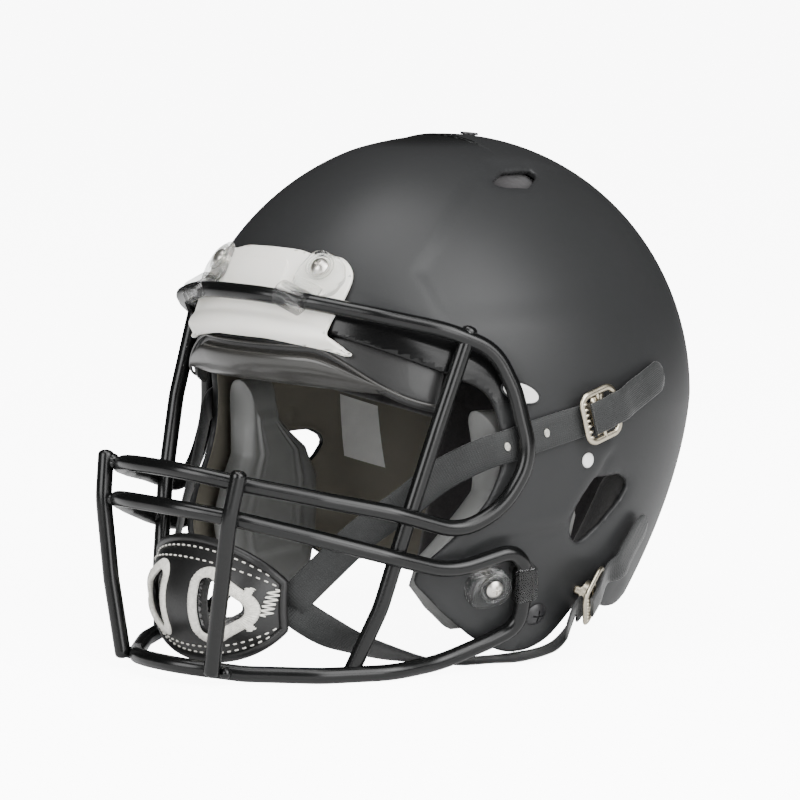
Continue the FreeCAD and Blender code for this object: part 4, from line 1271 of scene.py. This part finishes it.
class HELMET_OT_chin_cup(bpy.types.Operator):
    """Chin cup with bound edges, whipped vent rims, rows of stitching and its foam"""

    bl_idname = "helmet.chin_cup"
    bl_label = "Chin cup"

    def execute(self, context):
        cover, foam, thread = cup_cover(), soft_fabric("cup_foam", (0.02, 0.02, 0.02)), thread_white()
        vent = bent_line(CUP_VENT, True, 6.0, 1.0)

        def keep_for(grow):
            def keep(p):
                return -outline_distance(np.abs(p[..., 0]), p[..., 2], vent) - grow
            return keep

        s, t = np.linspace(-1, 1, 110), np.linspace(-1, 1, 60)
        for name, low, reach, wall, material, grow in (("cover", 0.0, 1.0, 3.4, cover, 0.6),
                                                       ("foam", 3.9, 0.8, 6.0, foam, -2.0)):
            part = trimmed_part(s * reach, t * reach, lambda a, b: cup_surface(a, b, 0.0 * a), keep_for(grow),
                                lambda a, b: cup_surface(a, b, low + 0 * a))
            piece = add_piece("chin_cup_" + name, part[0], part[1], part[2], materials=(material,))
            thicken(piece, wall, 1.0 if name == "cover" else 2.4, 0, 0, 3)
            settle(piece, "chin", "cup_leather" if name == "cover" else "cup_foam",
                   "chin_cup" if name == "cover" else "chin_cup_pad")
        binding = tube_part(self.border(0.97), 2.3, True, 12, centre=CUP_MIDDLE)
        piece = add_piece("chin_cup_binding", *binding, materials=(cover,))
        settle(piece, "chin", "cup_leather")
        parts = [self.stitches(self.row(height), 4.2, 2.6) for height in (0.86, 0.7, -0.86, -0.74)]
        for x, z, tilt, long in ((36.0, -78.0, 75, 5), (36.0, -94.0, 105, 5), (42.6, -83.0, 80, 13)):
            parts.append(both_sides(self.tack(x, z, math.radians(tilt), long)))
        fine = closed_line(vent, 400)
        way = tangents(fine, True)
        after = np.roll(fine, -1, 0)
        turn = math.copysign(1, (fine[:, 0] * after[:, 1] - after[:, 0] * fine[:, 1]).sum())
        k = np.arange(len(fine))
        rows = []
        away = np.stack([way[:, 1], -way[:, 0]], -1) * turn
        ripple = 0.28 * np.sin(k * 2 * math.pi / 4)
        for reach, lift in RIM_SECTION:
            rows.append(self.on_cup(fine + away * reach, lift - ripple))
        ring = np.stack(rows, 1)
        parts.append(both_sides((ring.reshape(-1, 3), grid_faces(len(fine), len(rows), True, True), NO_TRIS)))
        piece = add_piece("chin_cup_stitching", *join_parts(parts), materials=(thread,))
        settle(piece, "chin", "cup_leather")
        return {"FINISHED"}

    def border(self, k):
        """Closed line round the cup at a share of its half width and height, along all four sides."""
        n = 60
        a = np.linspace(-1, 1, n)
        s = np.concatenate([a, np.ones(n), a[::-1], -np.ones(n)]) * k
        t = np.concatenate([-np.ones(n), a, np.ones(n), a[::-1]]) * k
        line = cup_surface(s, t, 0 * s)
        return closed_line(line, 240)

    def row(self, height):
        """Line across the cup at a share of its half height."""
        s = np.linspace(-0.93, 0.93, 120)
        return even_line(cup_surface(s, np.full(120, height), 0 * s), 300)

    def tack(self, x, z, tilt, long):
        """Zigzag bar tack: a dense wave of thread along a short run."""
        t = np.linspace(-0.5, 0.5, 8 * 9)
        along, across = t * long, 1.8 * np.arcsin(np.sin(t * 2 * math.pi * 6)) / 1.57
        wave = np.stack([x + along * math.cos(tilt) - across * math.sin(tilt),
                         z + along * math.sin(tilt) + across * math.cos(tilt)], -1)
        return tube_part(self.on_cup(wave, -0.5), THREAD, False, 6, centre=CUP_MIDDLE)

    def on_cup(self, outline, depth):
        """Outline given as x and height, laid on the cup's outside."""
        sine = np.clip(outline[:, 0] / CUP_HALF_WIDTH * math.sin(CUP_HALF_TURN), -0.97, 0.97)
        s = np.clip(np.arcsin(sine) / CUP_HALF_TURN, -0.98, 0.98)
        t = (outline[:, 1] + 85) / (10.5 + 19.5 * (1 - s * s))
        return cup_surface(s, t, depth + 0 * s)

    def stitches(self, line, pitch, length):
        """A row of short stitches on a line."""
        count = int(line_length(line) / pitch)
        fine = even_line(line, count * 8)
        steps = max(2, int(8 * length / pitch))
        parts = []
        for i in range(count):
            run = fine[i * 8:i * 8 + steps]
            if len(run) > 2:
                lift = unit(run - np.array(CUP_MIDDLE)) * STITCH_LIFT[:len(run), None]
                parts.append(tube_part(run + lift, THREAD, False, 6, centre=CUP_MIDDLE))
        return join_parts(parts)


class HELMET_OT_liner(bpy.types.Operator):
    """Liner cushions: sheets of the form's inside that meet round their borders and swell between seams"""

    bl_idname = "helmet.liner"
    bl_label = "Liner"

    def execute(self, context):
        fabric = soft_fabric("liner_fabric", colours().fabric)
        outer, thick = -7.4, sizes().pad - 0.6

        def cushion(turn_low, turn_high, rise_low, rise_high, depth, slope=0.0):
            def place(u, v, share):
                turn = turn_low + (turn_high - turn_low) * u
                low = rise_low + slope * u
                rise = low + (rise_high - low) * v
                p = form(turn, rise)
                return p + normals_of(p) * (outer - thick * share)[:, None]
            return cushion_part(place, 48, 36, depth)

        rad = math.radians
        thirds = [("u", 0.33), ("u", 0.67)]
        cells = border_depth(130, 90, 11, thirds + [("v", 0.5)])
        side = cushion(rad(48), rad(108), -32, 70, cells, 44.0)
        for name, sign in SIDES:
            self.finish("side_cushion_" + name, sided(side, sign), fabric, "side_pad_" + name)
        back = cushion(rad(-45), rad(45), 1, 70, border_depth(200, 70, 11, thirds))
        self.finish("back_cushion", back, fabric, "back_pad")
        neck = cushion(rad(-50), rad(50), -107, -2, border_depth(190, 104, 11, thirds + [("v", 0.5)]))
        self.finish("neck_cushion", neck, fabric, "neck_pad")
        cells = [self.disc_cell(23, outer, thick)]
        for i in range(6):
            cells.append(self.ring_cell(rad(60 * i + 3), rad(60 * i + 57), 27.5, 65, outer, thick))
        self.finish("crown_cushions", join_parts(cells), fabric, "crown_pads")
        self.front()
        self.jaws()
        self.tag()
        return {"FINISHED"}

    def tag(self):
        """Blank label on the right wall's inside."""
        count = 14
        share = np.linspace(0, 1, count)
        y, z = (k.ravel() for k in np.meshgrid(share, share, indexing="ij"))
        p = side_point(34 + 22 * y, -12 - 34 * z - 8 * y, np.full(len(y), -4.6))
        piece = add_piece("liner_tag", mirror_points(p), grid_faces(count, count), materials=(badge_white(),))
        thicken(piece, 0.4, offset=0.0)
        settle(piece, "root", "badge_white")

    def finish(self, name, part, material, *nodes, body="root", slot="liner_fabric", fill=0.7):
        piece = add_piece(name, *part, materials=(material,))
        weld(piece, 0.05)
        settle(piece, body, slot, *nodes)
        return piece

    def crown_place(self, x, y, lift):
        """Point under the crown above (x, y), lifted along the form's normal."""
        r = np.clip(1 - (x / HALF_WIDTH) ** 2 - (y / HALF_LENGTH) ** 2, 0, 1)
        p = np.stack([x, y, CROWN * np.sqrt(r)], -1)
        n = unit(np.stack([x / HALF_WIDTH ** 2, y / HALF_LENGTH ** 2, p[:, 2] / CROWN ** 2], -1))
        return p + n * lift[:, None]

    def disc_cell(self, radius, outer, thick):
        def place(u, v, share):
            a = u * 2 * math.pi
            r = radius * v
            return self.crown_place(r * np.sin(a), 4 + r * np.cos(a), outer - thick * share)

        def depth(u, v):
            k = np.clip((1 - v) * radius / 9, 0, 1)
            return np.sqrt(np.clip(1 - (1 - k) ** 2, 0, 1))
        return cushion_part(place, 40, 16, depth)

    def ring_cell(self, start, end, low, high, outer, thick):
        def place(u, v, share):
            a = start + (end - start) * u
            r = low + (high - low) * v
            return self.crown_place(r * np.sin(a), 4 + r * np.cos(a), outer - thick * share)
        return cushion_part(place, 24, 20, border_depth(45, 38, 9))

    def front(self):
        """Brow pad: a black band inside the brow's edge, a thick glossy lip below it and piping between."""
        def seam(x):
            return 38.0 - 30.0 * step_up(np.abs(x), 38, 100) ** 0.9

        def edge_height(x):
            return 51.2 - 0.0024 * x * x

        def lip(u, v, share):
            x = -81 + 162 * u
            high, low = seam(x) + 3, 21.5 - 5.5 * (x / 81) ** 2
            z = high + (low - high) * v
            p = front_point(x, z)
            outer = -4.6 + 2.6 * np.sin(math.pi * np.clip(v * 1.2, 0, 1)) - 5 * v * v
            return p + normals_of(p) * (outer - 17 * share * (1 - 0.6 * (x / 81) ** 4))[:, None]

        def band(u, v, share):
            x = -93 + 186 * u
            z = edge_height(x) + 7 + (seam(x) - edge_height(x) - 9) * v
            p = front_point(x, z)
            return p + normals_of(p) * (-4.4 - 6.0 * share)[:, None]

        part = cushion_part(lip, 90, 32, border_depth(162, 20, 8, [("v", 0.22)], 2.0, 0.2))
        vinyl = pad_vinyl("front_vinyl", (0.028, 0.027, 0.025), 0.3)
        part = (part[0], part[1][:, ::-1], part[2])
        self.finish("front_cushion", part, vinyl, "front_pad", slot="brow_vinyl")
        part = cushion_part(band, 90, 20, border_depth(186, 24, 7))
        black = pad_vinyl("brow_band", (0.004, 0.004, 0.004), 0.42)
        self.finish("brow_band", (part[0], part[1][:, ::-1], part[2]), black, slot="brow_vinyl")
        x = np.linspace(-91, 91, 160)
        p = front_point(x, seam(x) + 1.5)
        piping = tube_part(p + normals_of(p) * -3.6, 0.75, False, 8, centre=(0, 0, 30))
        piece = add_piece("brow_piping", *piping, materials=(vinyl,))
        settle(piece, "root", "brow_vinyl")

    def jaws(self):
        """Jaw pads: smooth vinyl cushions with a raised panel outline."""
        rows = np.array([-104, -92, -80, -66, -50, -34, -18, 6.0])
        fronts = np.array([-62, -76, -86, -85, -73, -60, -58, -60.0])
        backs = np.array([-24, -14, -7, -3, -1, -8, -29, -36.0])

        def place(u, v, share):
            z = rows[0] + (rows[-1] - rows[0]) * v
            y = np.interp(z, rows, fronts) * (1 - u) + np.interp(z, rows, backs) * u
            p = side_point(y, z)
            p[:, 0] -= 8.4 + 22.6 * share
            return p

        def depth(u, v):
            d = np.minimum(np.minimum(u, 1 - u) * 62, np.minimum(v, 1 - v) * 78)
            k = np.clip(d / 10, 0, 1)
            share = np.sqrt(np.clip(1 - (1 - k) ** 2, 0, 1))
            return share * (0.86 + 0.14 * step_up(d, 12, 15) - 0.06 * np.exp(-((d - 17.5) / 0.8) ** 2))
        part = cushion_part(place, 64, 72, depth)
        vinyl = pad_vinyl("jaw_vinyl", colours().vinyl, 0.42)
        for name, sign in SIDES:
            self.finish("jaw_cushion_" + name, sided(part, sign), vinyl, "jaw_pad_" + name,
                        body="jaw_pad_" + name, slot="pad_vinyl", fill=0.8)


CAMERA_PLACE = (1395.242, -1363.550, 246.895)
# back, right and up
CAMERA_AXES = ((0.7164, -0.6862, 0.1266), (0.6918, 0.7221, 0.0), (-0.0914, 0.0876, 0.992))
CAMERA_LENS = 171.96
# name, metres to the right, up and towards the camera, size in metres, watts
LAMPS = (("key", 0.9, 1.5, 1.6, 1.8, 70), ("fill", -1.4, 0.6, 1.5, 1.2, 34), ("top", -0.3, 2.0, 0.6, 1.2, 30),
         ("front", 0.9, 0.1, 2.4, 1.2, 30), ("side", 1.7, 0.9, 1.5, 1.4, 34))


class HELMET_OT_stage(bpy.types.Operator):
    """Pale floor, soft lights and the camera"""

    bl_idname = "helmet.stage"
    bl_label = "Stage"

    def execute(self, context):
        scene = context.scene
        material, nodes, links, shader = new_material("floor_paint", (0.95, 0.95, 0.95), 0.9,
                                                      Emission_Color=(1, 1, 1, 1))
        self.seen_or_lighting(nodes, links, shader.inputs["Emission Strength"], 0.06, 9.0)
        noise = object_noise(nodes, links, 3.0, 2.0)
        vary_colour(nodes, links, shader, noise, (0.95, 0.95, 0.95), (0.97, 0.97, 0.97))
        mesh = bpy.data.meshes.new("floor")
        side = 12.0
        corners = [(-side, -side, 0), (side, -side, 0), (side, side, 0), (-side, side, 0)]
        mesh.from_pydata(corners, [], [(0, 1, 2, 3)])
        mesh.materials.append(material)
        floor = bpy.data.objects.new("floor", mesh)
        scene.collection.objects.link(floor)
        world = bpy.data.worlds.new("studio")
        scene.world = world
        world.use_nodes = True
        nodes, links = world.node_tree.nodes, world.node_tree.links
        room = nodes["Background"]
        room.inputs["Color"].default_value = (1, 1, 1, 1)
        self.seen_or_lighting(nodes, links, room.inputs["Strength"], 0.035, 9.0)
        back, right, up = (np.array(way) for way in CAMERA_AXES)
        target = metres((0, 0, 0))
        for name, a, b, c, size, power in LAMPS:
            lamp = bpy.data.lights.new(name, "AREA")
            lamp.energy = power
            lamp.size = size
            lamp_object = bpy.data.objects.new(name, lamp)
            scene.collection.objects.link(lamp_object)
            place = target + right * a + up * b + back * c
            self.aim(lamp_object, place, target)
        camera = bpy.data.cameras.new("camera")
        camera.lens = CAMERA_LENS
        camera.sensor_width = 36.0
        camera.clip_end = 50
        holder = bpy.data.objects.new("camera", camera)
        scene.collection.objects.link(holder)
        eye = metres(CAMERA_PLACE)
        self.aim(holder, eye, eye - back)
        scene.camera = holder
        return {"FINISHED"}

    def seen_or_lighting(self, nodes, links, socket, lighting, seen):
        """One brightness for what the room lights, and a brighter one where it is looked at directly."""
        path, span = nodes.new("ShaderNodeLightPath"), nodes.new("ShaderNodeMapRange")
        span.inputs["To Min"].default_value = lighting
        span.inputs["To Max"].default_value = seen
        links.new(path.outputs["Is Camera Ray"], span.inputs["Value"])
        links.new(span.outputs["Result"], socket)

    def aim(self, item, place, target):
        """Point an object's -Z from a place to a target, upright."""
        item.location = Vector(place)
        item.rotation_euler = (Vector(target) - Vector(place)).to_track_quat("-Z", "Y").to_euler()


OPERATORS = (HELMET_OT_shell, HELMET_OT_bumper, HELMET_OT_mask, HELMET_OT_clips, HELMET_OT_badges,
             HELMET_OT_hardware, HELMET_OT_buckles, HELMET_OT_straps, HELMET_OT_chin_cup, HELMET_OT_liner,
             HELMET_OT_stage)


class HELMET_PT_pieces(bpy.types.Panel):
    """Sizes, colours and the pieces in the order they are built"""

    bl_idname = "HELMET_PT_pieces"
    bl_label = "Football helmet"
    bl_space_type = "VIEW_3D"
    bl_region_type = "UI"
    bl_category = "Helmet"

    def draw(self, context):
        layout = self.layout
        for group in (context.scene.helmet_sizes, context.scene.helmet_colours):
            for name in group.bl_rna.properties.keys():
                if name not in ("rna_type", "name"):
                    layout.prop(group, name)
        for operator in OPERATORS:
            layout.operator(operator.bl_idname)


CLASSES = (HelmetSizes, HelmetColours, *OPERATORS, HELMET_PT_pieces)


def register():
    for item in CLASSES:
        bpy.utils.register_class(item)
    bpy.types.Scene.helmet_sizes = PointerProperty(type=HelmetSizes)
    bpy.types.Scene.helmet_colours = PointerProperty(type=HelmetColours)


def unregister():
    del bpy.types.Scene.helmet_colours
    del bpy.types.Scene.helmet_sizes
    for item in reversed(CLASSES):
        bpy.utils.unregister_class(item)


def main():
    register()
    for operator in OPERATORS:
        getattr(bpy.ops.helmet, operator.bl_idname.split(".")[1])()


if __name__ == "__main__":
    main()
